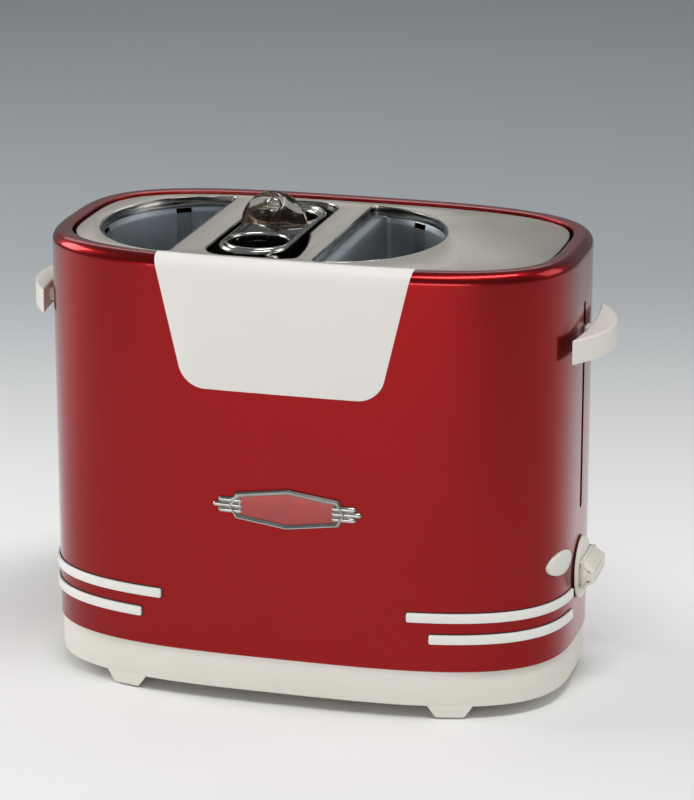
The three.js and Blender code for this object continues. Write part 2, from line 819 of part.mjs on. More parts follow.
// Stripes: two at each end of the front, running round the corner
for (const [row, [middle, start]] of Object.entries({
  upper: [stripe_upper_z, stripe_upper_start], lower: [stripe_lower_z, stripe_lower_start] })) {
  for (const [end, side] of Object.entries(sides)) {
    const span = [side * start, side * body_width].sort((a, b) => a - b);
    const reach = block(span, [-body_depth, -stripe_end_side], [middle - stripe_half, middle + stripe_half]);
    const band = wallBand(stripe_proud, middle - stripe_half, middle + stripe_half);
    add(`stripe_${end}_${row}`, band.intersect(reach), white_inlay);
  }
}

// Chassis deck: lies on the base's lip and posts, open under the wells and the basket
function makeDeck() {
  const plate = planPrism(deck_inset, deck_low, deck_top);
  const limits = [deck_low - overrun, deck_top + overrun];
  const wells = Object.values(sides).map((side) =>
    extrudeZ(wellShape(side, -deck_ledge, well_ledge), ...limits));
  return cut(plate, ...wells, extrudeZ(chamberShape(-deck_ledge), ...limits));
}

add('chassis_deck', makeDeck(), galvanised_steel);

// A slot through a liner's two end walls for the carriage's tongues
function tongueSlots(x) {
  const half = tongue_width / 2 + tongue_play;
  return block([x - half, x + half], [-tongue_end, tongue_end], [side_slot_low, side_slot_high]);
}

function rackTongueX(side) {
  return basket_x + side * (well_offset + rack_flat_inset + tongue_width / 2);
}

// Well liner: half-oval tube with a flat rim, a heat window, tongue slots and hook slots
function makeLiner(side) {
  const rim_low = liner_top - liner_wall;
  const tube = extrudeZ(wellShape(side, liner_wall, well_ledge), on_deck, liner_top);
  const rim = extrudeZ(wellShape(side, liner_rim), rim_low, liner_top);
  const hollow = extrudeZ(wellShape(side, 0, well_ledge), on_deck - overrun, liner_top + overrun);
  const flat = basket_x + side * (well_offset + well_ledge);
  const through = [flat - 2 * liner_wall, flat + 2 * liner_wall];
  const heat_window = block(through, [-window_half, window_half], [window_low, window_high]);
  const hooks = hook_slot_turns_share.map((share) => {
    const angle = share * Math.PI;
    const slot_high_z = rim_low - hook_slot_drop;
    const slot = new THREE.BoxGeometry(hook_slot_width, hook_slot_width, hook_slot_height);
    slot.rotateZ(side > 0 ? angle : Math.PI - angle);
    slot.translate(
      basket_x + side * (well_offset + well_reach * Math.cos(angle)), well_half * Math.sin(angle),
      slot_high_z - hook_slot_height / 2);
    return solid(slot);
  });
  return cut(join(tube, rim), hollow, heat_window, ...hooks, tongueSlots(rackTongueX(side)));
}

// Basket chamber: rounded tube with windows towards the heaters and slots for the platform
function makeChamber() {
  const tube = extrudeZ(chamberShape(liner_wall), on_deck, chamber_top);
  const hollow = extrudeZ(chamberShape(0), on_deck - overrun, chamber_top + overrun);
  const reach = chamber_half_width + finger_reach + overrun;
  const heat_windows = block(
    [basket_x - reach, basket_x + reach], [-window_half, window_half], [window_low, window_high]);
  return cut(tube, hollow, heat_windows, tongueSlots(basket_x));
}

for (const [end, side] of Object.entries(sides)) add(`well_liner_${end}`, makeLiner(side), aluminised_steel);
add('basket_chamber', makeChamber(), aluminised_steel);

// Heater boards stand between the chamber and the wells, each with its ribbon on the well's side
function makeRibbon(side) {
  const near = basket_x + side * (board_offset + board_thickness + seat_gap);
  const far = near + side * ribbon_thickness;
  const x = [Math.min(near, far), Math.max(near, far)];
  const rows = [];
  for (let i = 0; i < ribbon_row_count; i += 1) {
    const low = ribbon_low + i * ribbon_pitch;
    rows.push(block(x, [-ribbon_half, ribbon_half], [low, low + ribbon_width]));
    if (i === ribbon_row_count - 1) continue;
    const end = i % 2 === 0 ? [ribbon_half - ribbon_width, ribbon_half] : [-ribbon_half, ribbon_width - ribbon_half];
    rows.push(block(x, end, [low, low + ribbon_pitch + ribbon_width]));
  }
  return join(...rows);
}

for (const [end, side] of Object.entries(sides)) {
  const near = basket_x + side * board_offset;
  const far = near + side * board_thickness;
  const x = [Math.min(near, far), Math.max(near, far)];
  add(`heater_board_${end}`, block(x, [-board_half, board_half], [on_deck, board_top]), mica);
  add(`heater_ribbon_${end}`, makeRibbon(side), heater_alloy);
}

// Bun guards: upright wires in front of the windows
function makeGuard(side) {
  const x = basket_x + side * (well_offset + well_ledge + seat_gap + guard_radius);
  const wires = [];
  for (let i = 0; i < guard_wire_count; i += 1) {
    const y = guard_half * (2 * i / (guard_wire_count - 1) - 1);
    wires.push(rodZ(x, y, guard_low, guard_high, guard_radius, wire_side_count));
  }
  const rails = [guard_low, guard_high].map((z) =>
    rodY(x, -guard_half - guard_radius, guard_half + guard_radius, z, guard_radius, wire_side_count));
  return join(...wires, ...rails);
}

for (const [end, side] of Object.entries(sides)) add(`bun_guard_${end}`, makeGuard(side), chrome);

// Mechanism frame: back plate with a lever slot, and a flange below and above for the guide rods
function makeMechanismFrame() {
  const back_x = [mech_frame_x, mech_frame_x + frame_sheet];
  const y = [-mech_frame_half, mech_frame_half];
  const back = block(back_x, y, [on_deck, under_plate]);
  const foot = block([mech_front, back_x[1]], y, [on_deck, flange_top]);
  const head = block([mech_front, back_x[1]], y, [under_plate - frame_sheet, under_plate]);
  const slot = block(
    [mech_frame_x - overrun, mech_frame_x + overrun], [-mech_slot_half, mech_slot_half],
    [arm_low - carriage_travel - mech_slot_margin, arm_top + mech_slot_margin]);
  const holes = [-rod_side, rod_side].map((side) =>
    rodZ(rod_x, side, 0, plate_top + overrun, rod_radius + seat_gap));
  const standoffs = [];
  for (const side of [-pcb_front + standoff_radius + mech_slot_margin * 2, pcb_rear - standoff_radius]) {
    for (const z of [pcb_low + standoff_radius, pcb_high - standoff_radius]) {
      standoffs.push(rodX(mech_frame_x, pcb_x - seat_gap, Math.max(side, y[0] + standoff_radius), z, standoff_radius));
    }
  }
  return cut(join(back, foot, head, ...standoffs), slot, ...holes);
}

add('mechanism_frame', makeMechanismFrame(), galvanised_steel);

// Left frame: carries the fixed side grip
function makeLeftFrame() {
  const outer = -left_frame_x - frame_sheet;
  const y = [-left_frame_half, left_frame_half];
  const plate = block([outer, -left_frame_x], y, [on_deck, under_plate]);
  const foot = block([outer - left_foot_reach, -left_frame_x], y, [on_deck, flange_top]);
  const head = block([outer - left_top_reach, -left_frame_x], y, [under_plate - frame_sheet, under_plate]);
  const holes = [-stem_side, stem_side].map((side) =>
    rodX(outer - overrun, overrun - left_frame_x, side, grip_mid, screw_radius + seat_gap, screw_side_count));
  return cut(join(plate, foot, head), ...holes);
}

add('left_end_frame', makeLeftFrame(), galvanised_steel);

// Guide rods and the springs that lift the carriage
class Helix extends THREE.Curve {
  constructor(x, y, low, high) {
    super();
    Object.assign(this, { x, y, low, high });
  }

  getPoint(t, target = new THREE.Vector3()) {
    const angle = 2 * Math.PI * spring_turn_count * t;
    return target.set(
      this.x + spring_radius * Math.cos(angle), this.y + spring_radius * Math.sin(angle),
      this.low + (this.high - this.low) * t);
  }
}

function makeSpring(side) {
  const low = flange_top + seat_gap / 2 + spring_wire;
  const high = bush_low - seat_gap / 2 - spring_wire;
  const wire = new THREE.Shape();
  wire.absarc(0, 0, spring_wire, 0, 2 * Math.PI);
  return solid(new THREE.ExtrudeGeometry(wire, {
    extrudePath: new Helix(rod_x, side * rod_side, low, high),
    steps: spring_turn_count * spring_step_count, curveSegments: 3, bevelEnabled: false }));
}

for (const [face, side] of Object.entries({ front: -1, rear: 1 })) {
  const rod = rodZ(rod_x, side * rod_side, on_deck, under_plate, rod_radius);
  add(`guide_rod_${face}`, rod, chrome);
  add(`lift_spring_${face}`, makeSpring(side), spring_steel);
}

// Carriage frame: a plate at the lever end and a bar along each side of the wells
function makeCarriageFrame() {
  const outer = bar_side + bar_thickness;
  const plate_outline = polygon([
    [-outer, bar_low], [outer, bar_low], [outer, bar_top], [carriage_lug_half, bar_top],
    [carriage_lug_half, arm_top + carriage_lug_rise], [-carriage_lug_half, arm_top + carriage_lug_rise],
    [-carriage_lug_half, bar_top], [-outer, bar_top]]);
  const plate = extrudeX(plate_outline, carriage_plate_x, carriage_back);
  const bars = [[-outer, -bar_side], [bar_side, outer]].map((y) =>
    block([-bar_left, carriage_back], y, [bar_low, bar_top]));
  return join(plate, ...bars);
}

add('carriage_frame', makeCarriageFrame(), galvanised_steel);

// Slide bushes on the guide rods
for (const [face, side] of Object.entries({ front: -1, rear: 1 })) {
  const y = side * rod_side;
  const near = carriage_back + seat_gap;
  const bush = block([near, near + bush_reach], [y - bush_half, y + bush_half], [bush_low, bush_top]);
  const bore = rodZ(rod_x, y, bush_low - overrun, bush_top + overrun, rod_radius + seat_gap);
  add(`slide_bush_${face}`, cut(bush, bore), black_plastic);
}

// Lever arm, from the carriage plate out through the slot into the lever handle
add('lever_arm', block(
  [carriage_back + seat_gap, handle_inner - seat_gap], [-arm_half, arm_half], [arm_low, arm_top]), galvanised_steel);

// Keeper plate that the magnet holds when the carriage is down
add('keeper_plate', block(
  [carriage_back + seat_gap, carriage_back + seat_gap + keeper_reach], [-keeper_half, keeper_half],
  [keeper_low, keeper_low + keeper_thickness]), galvanised_steel);

// Bun racks and the basket's platform, with tongues that lie on the carriage bars
function tongue(x) {
  const half = tongue_width / 2;
  return block([x - half, x + half], [-tongue_end, tongue_end], [rack_low, rack_top]);
}

function crumbHoles(x) {
  const holes = [];
  for (let i = 0; i < rack_hole_count; i += 1) {
    const y = rack_hole_pitch * (i - (rack_hole_count - 1) / 2);
    holes.push(rodZ(x, y, rack_low - overrun, rack_top + overrun, rack_hole_radius, screw_side_count));
  }
  return holes;
}

function makeRack(side) {
  const floor = extrudeZ(wellShape(side, -rack_play, rack_flat_inset - rack_play), rack_low, rack_top);
  const x = basket_x + side * (well_offset + (rack_flat_inset + tongue_width + well_reach - rack_play) / 2);
  return cut(join(floor, tongue(rackTongueX(side))), ...crumbHoles(x));
}

function makePlatform() {
  const x = [basket_x - basket_half_width, basket_x + basket_half_width];
  const y = [-basket_half_length, basket_half_length];
  const floor = extrudeZ(roundedRectangle(x, y, chamber_corner), rack_low, rack_top);
  return cut(join(floor, tongue(basket_x)), ...crumbHoles(basket_x));
}

for (const [end, side] of Object.entries(sides)) add(`bun_rack_${end}`, makeRack(side), aluminised_steel);
add('basket_platform', makePlatform(), aluminised_steel);

// Hold-down magnet under the keeper
const core_top = keeper_low - carriage_travel - seat_gap;
const coil_low = flange_top + seat_gap + magnet_foot + seat_gap;
add('magnet_core', join(
  rodZ(magnet_x, 0, flange_top + seat_gap, core_top, magnet_core_radius),
  rodZ(magnet_x, 0, flange_top + seat_gap, coil_low - seat_gap, magnet_coil_radius)), galvanised_steel);
add('magnet_coil', cut(
  rodZ(magnet_x, 0, coil_low, coil_low + magnet_coil_height, magnet_coil_radius),
  rodZ(magnet_x, 0, 0, plate_top, magnet_core_radius + seat_gap)), copper);

// Side handles: a crescent with its inner face towards the body
function bowPoints(middle, bow, start, end) {
  const points = [];
  for (let i = 0; i <= handle_step_count; i += 1) {
    const share = i / handle_step_count;
    const y = start + (end - start) * share;
    points.push([middle - bow * (y / handle_half) ** 2, y]);
  }
  return points;
}

// The prism's two outer layers are drawn in, which chamfers its long edges
function crescent(side, low) {
  const outer = bowPoints(handle_outer, handle_outer_bow, -handle_half, handle_half);
  const inner = bowPoints(handle_inner, handle_inner_bow, handle_half, -handle_half);
  const geometry = new THREE.ExtrudeGeometry(polygon([...outer, ...inner]), {
    depth: handle_layer_count, steps: handle_layer_count, bevelEnabled: false });
  const high = low + handle_height;
  const levels = [low, low + handle_bevel, high - handle_bevel, high];
  const { position } = geometry.attributes;
  for (let i = 0; i < position.count; i += 1) {
    const [x, y, layer] = [position.getX(i), position.getY(i), Math.round(position.getZ(i))];
    const bend = (y / handle_half) ** 2;
    const half = (handle_depth - (handle_outer_bow - handle_inner_bow) * bend) / 2;
    const middle = handle_inner - handle_inner_bow * bend + half;
    const drawn = layer % handle_layer_count === 0;
    const shrink = drawn ? half / (half + handle_bevel) : 1;
    const shorten = drawn ? 1 - handle_bevel / handle_half : 1;
    position.setXYZ(i, side * (middle + (x - middle) * shrink), y * shorten, levels[layer]);
  }
  return solid(geometry);
}

function makeLeverHandle() {
  const boss = block(
    [half_width + boss_stand_off, handle_inner + handle_depth / 2], [-boss_half, boss_half],
    [lever_mid - boss_half - seat_gap, lever_mid + boss_half + seat_gap]);
  const pocket = block(
    [half_width, handle_inner], [-arm_half - seat_gap, arm_half + seat_gap],
    [arm_low - seat_gap, arm_top + seat_gap]);
  return cut(join(crescent(1, lever_low), boss), pocket);
}

function makeLeftHandle() {
  const stem_end = left_frame_x + frame_sheet + seat_gap;
  const stems = [-stem_side, stem_side].map((y) =>
    rodX(-handle_inner - handle_depth / 4, -stem_end, y, grip_mid, stem_radius));
  const bores = [-stem_side, stem_side].map((y) =>
    rodX(-stem_end - screw_depth, overrun - stem_end, y, grip_mid, screw_radius + seat_gap, screw_side_count));
  return cut(join(crescent(-1, grip_low), ...stems), ...bores);
}

add('lever_handle', makeLeverHandle(), cream_plastic);
add('left_handle', makeLeftHandle(), cream_plastic);

for (const [face, side] of Object.entries({ front: -1, rear: 1 })) {
  const y = side * stem_side;
  const head_near = seat_gap - left_frame_x;
  const head = rodX(head_near, head_near + screw_head_height, y, grip_mid, screw_head_radius, screw_side_count);
  const shank_end = -left_frame_x - frame_sheet - screw_depth;
  const shank = rodX(shank_end, head_near, y, grip_mid, screw_radius, screw_side_count);
  add(`handle_screw_${face}`, join(head, shank), spring_steel);
}

// Control board on the mechanism frame, with the timer and the stop switch in front of it
function makeBoard() {
  const plate = block([pcb_x, pcb_face], [-pcb_front, pcb_rear], [pcb_low, pcb_high]);
  const relay = block(
    [pcb_face, pcb_face + relay_height], [relay_side - relay_half / 2, relay_side + relay_half],
    [pcb_low + relay_half, pcb_low + 3 * relay_half]);
  const capacitors = [0, 1].map((i) => rodX(
    pcb_face, pcb_face + relay_height, -pcb_front + capacitor_gap * (i + 1), pcb_low + capacitor_gap,
    capacitor_radius, screw_side_count));
  return join(plate, relay, ...capacitors);
}

function makeTimer() {
  const near = pcb_face + seat_gap;
  const body = block([near, near + timer_depth], [-timer_half, timer_half],
    [knob_height - timer_half, knob_height + timer_half]);
  const socket = rodX(
    near + timer_depth - timer_socket, near + timer_depth + overrun, 0, knob_height,
    timer_shaft_radius + seat_gap);
  return cut(body, socket);
}

add('control_board', makeBoard(), board_green);
add('timer', makeTimer(), black_plastic);
add('timer_shaft', rodX(
  pcb_face + 2 * seat_gap + timer_depth - timer_socket, half_width + knob_stand_off + knob_thickness / 2,
  0, knob_height, timer_shaft_radius), spring_steel);

const button_stem_end = button_flange_x - button_stem_length;
add('stop_switch', block(
  [pcb_face + seat_gap, button_stem_end - button_travel - seat_gap],
  [-button_side - switch_half, switch_half - button_side],
  [button_height - switch_half, button_height + switch_half]), black_plastic);

// Browning knob: chamfered disc, tapered grip across it, hub on the timer's shaft
function makeKnob() {
  const back = half_width + knob_stand_off;
  const face = back + knob_thickness;
  const profile = [
    [0, 0], [knob_radius, 0], [knob_radius, knob_thickness - knob_chamfer],
    [knob_radius - knob_chamfer, knob_thickness], [0, knob_thickness]];
  const lathe = new THREE.LatheGeometry(profile.map(([r, h]) => new THREE.Vector2(r, h)), knob_side_count);
  const disc = solid(lathe.rotateZ(-Math.PI / 2).translate(back, 0, knob_height));
  const reach = knob_reach - knob_thickness;
  const grip_outline = polygon([
    [face - knob_chamfer, -knob_grip_base], [face, -knob_grip_base], [face + reach, -knob_grip_top],
    [face + reach, knob_grip_top], [face, knob_grip_base], [face - knob_chamfer, knob_grip_base]]);
  const grip = extrudeY(grip_outline, -knob_grip_half, knob_grip_half).translate([0, 0, knob_height]);
  const round = rodX(back, face + knob_reach, 0, knob_height, knob_radius - knob_chamfer, knob_side_count);
  const hub = rodX(back - knob_hub_depth, back + knob_chamfer, 0, knob_height, knob_hub_radius);
  const bore = rodX(
    back - knob_hub_depth - overrun, back + knob_thickness / 2 + seat_gap, 0, knob_height,
    timer_shaft_radius + seat_gap);
  return cut(join(disc, grip.intersect(round), hub), bore);
}

add('control_knob', makeKnob(), cream_plastic);

// Stop button: an oval that follows the body's curve, with a flange behind the wall and a stem
function makeButton() {
  const face = buttonPrism(0, button_flange_x, half_width + overrun).intersect(
    planPrism(-button_proud, button_height - button_half_height - overrun, button_height + knob_radius));
  const flange = buttonPrism(button_flange, button_flange_x, button_flange_x + button_flange);
  const stem = rodX(button_stem_end, button_flange_x + button_flange, -button_side, button_height, button_stem_radius);
  return join(face, flange, stem);
}

add('stop_button', makeButton(), cream_plastic);

// Sausage basket: rolled rim, and a plate with two collared holes and an ear for the tab's rivet
function basketOutline(shrink) {
  const x = [basket_x - basket_half_width + shrink, basket_x + basket_half_width - shrink];
  return roundedRectangle(x, [shrink - basket_half_length, basket_half_length - shrink], basket_corner - shrink);
}

function makeBasketTop() {
  const rim_high = basket_plate_top + basket_rim_rise;
  const rim_low = rim_high - basket_rim;
  const plate_bottom = basket_plate_top - basket_plate;
  const rim = cut(
    extrudeZ(basketOutline(0), rim_low, rim_high),
    extrudeZ(basketOutline(basket_rim / 2), rim_low - overrun, rim_high + overrun));
  const plate = extrudeZ(basketOutline(basket_rim / 2 - cage_wire / 2), plate_bottom, basket_plate_top);
  const pieces = [rim, plate];
  const holes = [];
  for (const y of [-hole_side, hole_side]) {
    const collar_top = basket_plate_top + hole_collar_rise;
    pieces.push(rodZ(basket_x, y, plate_bottom, collar_top, hole_radius + hole_collar, hole_side_count));
    holes.push(rodZ(basket_x, y, plate_bottom - overrun, collar_top + overrun, hole_radius, hole_side_count));
  }
  const tab_back = tab_y + tab_thickness / 2 + seat_gap;
  pieces.push(block(
    [basket_x - ear_half, basket_x + ear_half], [tab_back, tab_back + ear_thickness],
    [plate_bottom, basket_plate_top + rivet_height + ear_over]));
  const rivet_hole = rodY(
    basket_x, tab_back - overrun / 2, tab_back + overrun, basket_plate_top + rivet_height,
    rivet_shank_radius + seat_gap, screw_side_count);
  return cut(join(...pieces), ...holes, rivet_hole);
}

// A cage under each hole: upright wires on a ring-shaped floor
function makeCage(y) {
  const radius = cage_floor_radius - cage_wire;
  const wire_top = basket_plate_top - basket_plate - seat_gap;
  const pieces = [rodZ(basket_x, y, basket_seat, basket_seat + cage_floor, cage_floor_radius, hole_side_count)];
  for (let i = 0; i < cage_wire_count; i += 1) {
    const angle = 2 * Math.PI * (i + 0.5) / cage_wire_count;
    pieces.push(rodZ(
      basket_x + radius * Math.cos(angle), y + radius * Math.sin(angle), basket_seat + cage_floor / 2,
      wire_top, cage_wire, wire_side_count));
  }
  const drain = rodZ(basket_x, y, basket_seat - overrun, basket_seat + cage_floor + overrun, cage_drain_radius);
  return cut(join(...pieces), drain);
}

function makeTab() {
  const outline = new THREE.Shape();
  const low = basket_plate_top + basket_rim_rise + seat_gap;
  outline.moveTo(basket_x + tab_half, low);
  outline.absellipse(basket_x, low, tab_half, tab_height, 0, Math.PI);
  const disc = extrudeY(outline, tab_y - tab_thickness / 2, tab_y + tab_thickness / 2);
  const hole = rodY(
    basket_x, tab_y - tab_thickness, tab_y + tab_thickness, basket_plate_top + rivet_height,
    rivet_shank_radius + seat_gap, screw_side_count);
  return cut(disc, hole);
}

function makeRivet() {
  const z = basket_plate_top + rivet_height;
  const front = tab_y - tab_thickness / 2 - seat_gap;
  const back = tab_y + tab_thickness / 2 + seat_gap + ear_thickness + seat_gap;
  return join(
    rodY(basket_x, front - rivet_head, front, z, rivet_radius),
    rodY(basket_x, front - rivet_head / 2, back + rivet_head / 2, z, rivet_shank_radius, screw_side_count),
    rodY(basket_x, back, back + rivet_head, z, rivet_shank_radius * 2, screw_side_count));
}

add('basket_rim', makeBasketTop(), chrome);
add('basket_cage_front', makeCage(-hole_side), chrome);
add('basket_cage_rear', makeCage(hole_side), chrome);
add('basket_tab', makeTab(), smoked_plastic);
add('basket_rivet', makeRivet(), chrome);

// Crumb tray: slides out of the rear on the base's floor, with a pull that closes its slot
function trayPrism(inset, shrink, low, high) {
  const limits = block(
    [-tray_left + shrink, tray_right - shrink], [-tray_front + shrink, body_depth], [low, high]);
  return planPrism(inset, low, high).intersect(limits);
}

function makeTray() {
  const low = floor_top + seat_gap;
  const outer_inset = base_inset + base_wall + seat_gap;
  const outer = trayPrism(outer_inset, 0, low, low + tray_height);
  const inner = trayPrism(outer_inset + tray_wall, tray_wall, low + tray_wall, low + tray_height + overrun);
  return cut(outer, inner);
}

function makePull() {
  const low = floor_top + seat_gap;
  const high = floor_top + tray_slot_height - seat_gap;
  const inner = planPrism(base_inset + base_wall, low - overrun, high + overrun);
  const curved = cut(trayPrism(base_inset, 0, low, high), inner);
  const rear_only = block([-body_width, body_width], [tray_front, body_depth], [low, high]);
  const lip_back = half_depth - base_inset - base_wall / 2;
  const lip = block(
    [basket_x - pull_half, basket_x + pull_half], [lip_back, pull_reach],
    [low + pull_lip_low, low + pull_lip_high]);
  return join(curved.intersect(rear_only), lip);
}

add('crumb_tray', makeTray(), galvanised_steel);
add('tray_pull', makePull(), cream_plastic);

// Cord inlet bush in the base's rear wall
function makeGland() {
  const low = gland_height - gland_radius - overrun;
  const high = gland_height + gland_radius + overrun;
  const outside = cut(planPrism(base_inset - seat_gap - gland_flange, low, high), planPrism(base_inset - seat_gap, low, high));
  const flange = rodY(gland_x, 0, body_depth, gland_height, gland_radius).intersect(outside);
  const inside = planPrism(base_inset - seat_gap - gland_flange / 2, low, high);
  const start = half_depth - base_inset - base_wall - gland_depth;
  const neck = rodY(gland_x, start, body_depth, gland_height, gland_neck_radius).intersect(inside);
  const bore = rodY(gland_x, 0, body_depth, gland_height, gland_bore_radius);
  return cut(join(flange, neck), bore);
}

add('cord_gland', makeGland(), black_rubber);

export default toaster;
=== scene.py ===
import json
import math

import bmesh
import bpy
from mathutils import Matrix, Vector


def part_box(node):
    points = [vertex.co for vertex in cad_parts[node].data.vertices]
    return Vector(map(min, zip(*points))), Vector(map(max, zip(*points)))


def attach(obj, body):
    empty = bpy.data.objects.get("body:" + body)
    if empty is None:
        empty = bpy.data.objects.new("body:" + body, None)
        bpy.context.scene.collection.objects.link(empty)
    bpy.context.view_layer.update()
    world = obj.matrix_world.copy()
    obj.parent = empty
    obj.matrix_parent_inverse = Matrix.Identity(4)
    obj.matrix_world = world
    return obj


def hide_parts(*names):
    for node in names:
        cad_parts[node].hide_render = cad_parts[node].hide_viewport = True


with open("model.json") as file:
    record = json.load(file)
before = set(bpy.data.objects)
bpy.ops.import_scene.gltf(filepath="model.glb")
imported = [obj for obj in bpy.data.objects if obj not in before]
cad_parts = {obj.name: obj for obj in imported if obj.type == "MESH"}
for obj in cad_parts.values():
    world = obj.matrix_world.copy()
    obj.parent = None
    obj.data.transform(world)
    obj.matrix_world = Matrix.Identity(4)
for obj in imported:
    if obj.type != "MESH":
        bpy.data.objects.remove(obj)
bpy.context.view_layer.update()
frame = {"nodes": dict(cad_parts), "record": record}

bl_info = {
    "name": "Pop-up hot dog toaster",
    "version": (1, 0, 0),
    "blender": (4, 5, 0),
    "location": "3D View > Sidebar > Toaster",
    "description": "Dresses the toaster's frame with finely made pieces and real finishes",
    "category": "Object",
}

# ---------------------------------------------------------------- sizes and colours


def linear(code):
    """An sRGB hex colour as the linear values that Blender stores."""
    shares = [int(code[i:i + 2], 16) / 255 for i in (1, 3, 5)]
    return tuple(s / 12.92 if s <= 0.04045 else ((s + 0.055) / 1.055) ** 2.4 for s in shares)


def length(name, millimetres, description):
    return bpy.props.FloatProperty(
        name=name, description=description, default=millimetres / 1000, precision=5, unit="LENGTH")


def colour(name, code, description):
    return bpy.props.FloatVectorProperty(
        name=name, description=description, subtype="COLOR", size=3, min=0, max=1, default=linear(code))


class BodySizes(bpy.types.PropertyGroup):
    """Shell, base and top plate."""
    squareness: bpy.props.FloatProperty(
        name="Squareness", description="Exponent of the oval plan; 2 is an ellipse", default=3.2, min=2)
    shoulder: length("Shoulder", 6, "Radius of the shell's rounded shoulder")
    rim_inner: length("Rim", 11, "Distance from the wall to the rim's inner edge")
    rim_lip: length("Rim lip", 5, "Height of the lip that turns down beside the plate")
    sheet: length("Sheet", 1.2, "Thickness of the shell's sheet")
    base_inset: length("Base inset", 1, "Distance that the base stands back from the shell")
    base_wall: length("Base wall", 2.5, "Thickness of the base's wall and floor")
    foot_bottom: length("Foot, below", 15, "Width of a foot where it stands")
    foot_top: length("Foot, above", 27, "Width of a foot where it meets the base")
    foot_length: length("Foot length", 25, "Length of a foot, front to back")
    foot_spread: length("Foot spread", 91, "Distance of the feet from the middle")
    plate_inset: length("Plate inset", 13, "Distance from the wall to the top plate's edge")
    plate_fold: length("Plate fold", 0.6, "Radius of the top plate's folded edges")
    plate_sheet: length("Plate sheet", 1, "Thickness of the top plate")
    slot_half: length("Slot, half width", 2.5, "Half the width of the lever's slot")


class WellSizes(bpy.types.PropertyGroup):
    """The two half-oval wells and the bay between them."""
    bay_x: length("Bay place", -27.5, "Place of the basket bay across the body")
    offset: length("Well offset", 39.5, "Distance from the bay's middle to a well's flat side")
    reach: length("Well reach", 55, "Depth of the half oval")
    half: length("Well, half length", 62, "Half the length of the half oval")
    corner: length("Well corner", 3, "Radius of a well's corners")
    ledge: length("Well ledge", 7.3, "Distance that the liner's flat wall stands in from the plate's edge")
    bay_half: length("Bay, half width", 22, "Half the width of the basket bay")
    bay_corner: length("Bay corner", 14, "Radius of the bay's corners")
    finger: length("Finger notch", 7.5, "How far the bay is widened for a finger")


class BasketSizes(bpy.types.PropertyGroup):
    """The lift-out sausage basket."""
    half_width: length("Half width", 19, "Half the width of the basket's rim")
    half_length: length("Half length", 53.5, "Half the length of the basket's rim")
    corner: length("Corner", 18.05, "Radius of the rim's corners")
    rim_width: length("Rim width", 2.5, "Width of the rolled rim")
    hole: length("Hole", 16.4, "Radius of a sausage hole")
    hole_side: length("Hole place", 28, "Distance of a hole from the basket's middle")
    tab_half: length("Tab, half width", 18.6, "Half the width of the lifting tab")
    tab_height: length("Tab height", 19.2, "Height of the lifting tab")
    tab_thickness: length("Tab thickness", 2.4, "Thickness of the lifting tab")


class TrimSizes(bpy.types.PropertyGroup):
    """Label plate, badge, stripes, handles and controls."""
    label_low: length("Label, low edge", 176, "Height of the label plate's lower edge")
    label_half_low: length("Label, half width below", 53.3, "Half the label's width at its lower edge")
    label_half_high: length("Label, half width above", 69.4, "Half the label's width at the top plate")
    label_corner: length("Label corner", 15, "Radius of the label's lower corners")
    badge_x: length("Badge place", 3.4, "Place of the badge across the front")
    badge_z: length("Badge height", 113, "Height of the badge's middle")
    stripe_half: length("Stripe, half height", 2.6, "Half the height of a stripe")
    stripe_proud: length("Stripe thickness", 1.2, "Thickness of a stripe")
    handle_half: length("Handle, half length", 38.5, "Half the length of a handle")
    handle_depth: length("Handle depth", 12.5, "Depth of a handle at its middle")
    handle_edge: length("Handle edge", 1.25, "Radius of a handle's edges")
    knob_radius: length("Knob", 17.5, "Radius of the browning knob")
    knob_disc: length("Knob disc", 3.6, "Thickness of the knob's disc")


class FinishColours(bpy.types.PropertyGroup):
    """Colours of the finishes."""
    lacquer: colour("Lacquer", "#920e11", "Red lacquer on the shell")
    cream: colour("Cream plastic", "#e4dfd4", "Base, handles and knob")
    label: colour("Label", "#ece7e2", "Painted label plate")
    inlay: colour("Inlay", "#eceae4", "Stripes")
    badge: colour("Badge field", "#a32f2a", "Enamelled badge field")
    satin: colour("Satin steel", "#cbc5bb", "Top plate")
    liner: colour("Aluminised steel", "#9fa7ad", "Well liners and racks")
    smoke: colour("Smoked acrylic", "#9f8c7e", "Lifting tab")
    floor_near: colour("Floor, near", "#f5f4f3", "Floor round the toaster")
    # the far floor's grey is painted shade: one paper darkened with distance from the lamps
    floor_far_painted_shade: colour("Floor, far", "#bcbfc1", "Floor behind the toaster")


GROUPS = {
    "toaster_body": BodySizes, "toaster_wells": WellSizes, "toaster_basket": BasketSizes,
    "toaster_trim": TrimSizes, "toaster_colours": FinishColours}

PLAN_STEPS = 288
ARC_STEPS = 8
EASE_STEPS = 3
SEAT = 0.0003  # clearance between pieces that touch
BUTTON_HALF = (0.0124, 0.0066)  # half axes of the stop button
SCREW_SIDES = (-0.022, 0.022)  # places of the left grip's two stems


def sizes(context, group):
    return getattr(context.scene, f"toaster_{group}")


def low(node, axis):
    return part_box(node)[0][axis]


def high(node, axis):
    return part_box(node)[1][axis]


# Levels and reaches that the frame gives
half_width, half_depth = high("outer_shell", 0), high("outer_shell", 1)
shell_low, rim_top = low("outer_shell", 2), high("outer_shell", 2)
plate_top = high("top_plate", 2)
base_top = shell_low - SEAT
liner_low, liner_top = low("well_liner_left", 2), high("well_liner_left", 2)
bay_top = high("basket_chamber", 2)

# ---------------------------------------------------------------- shapes


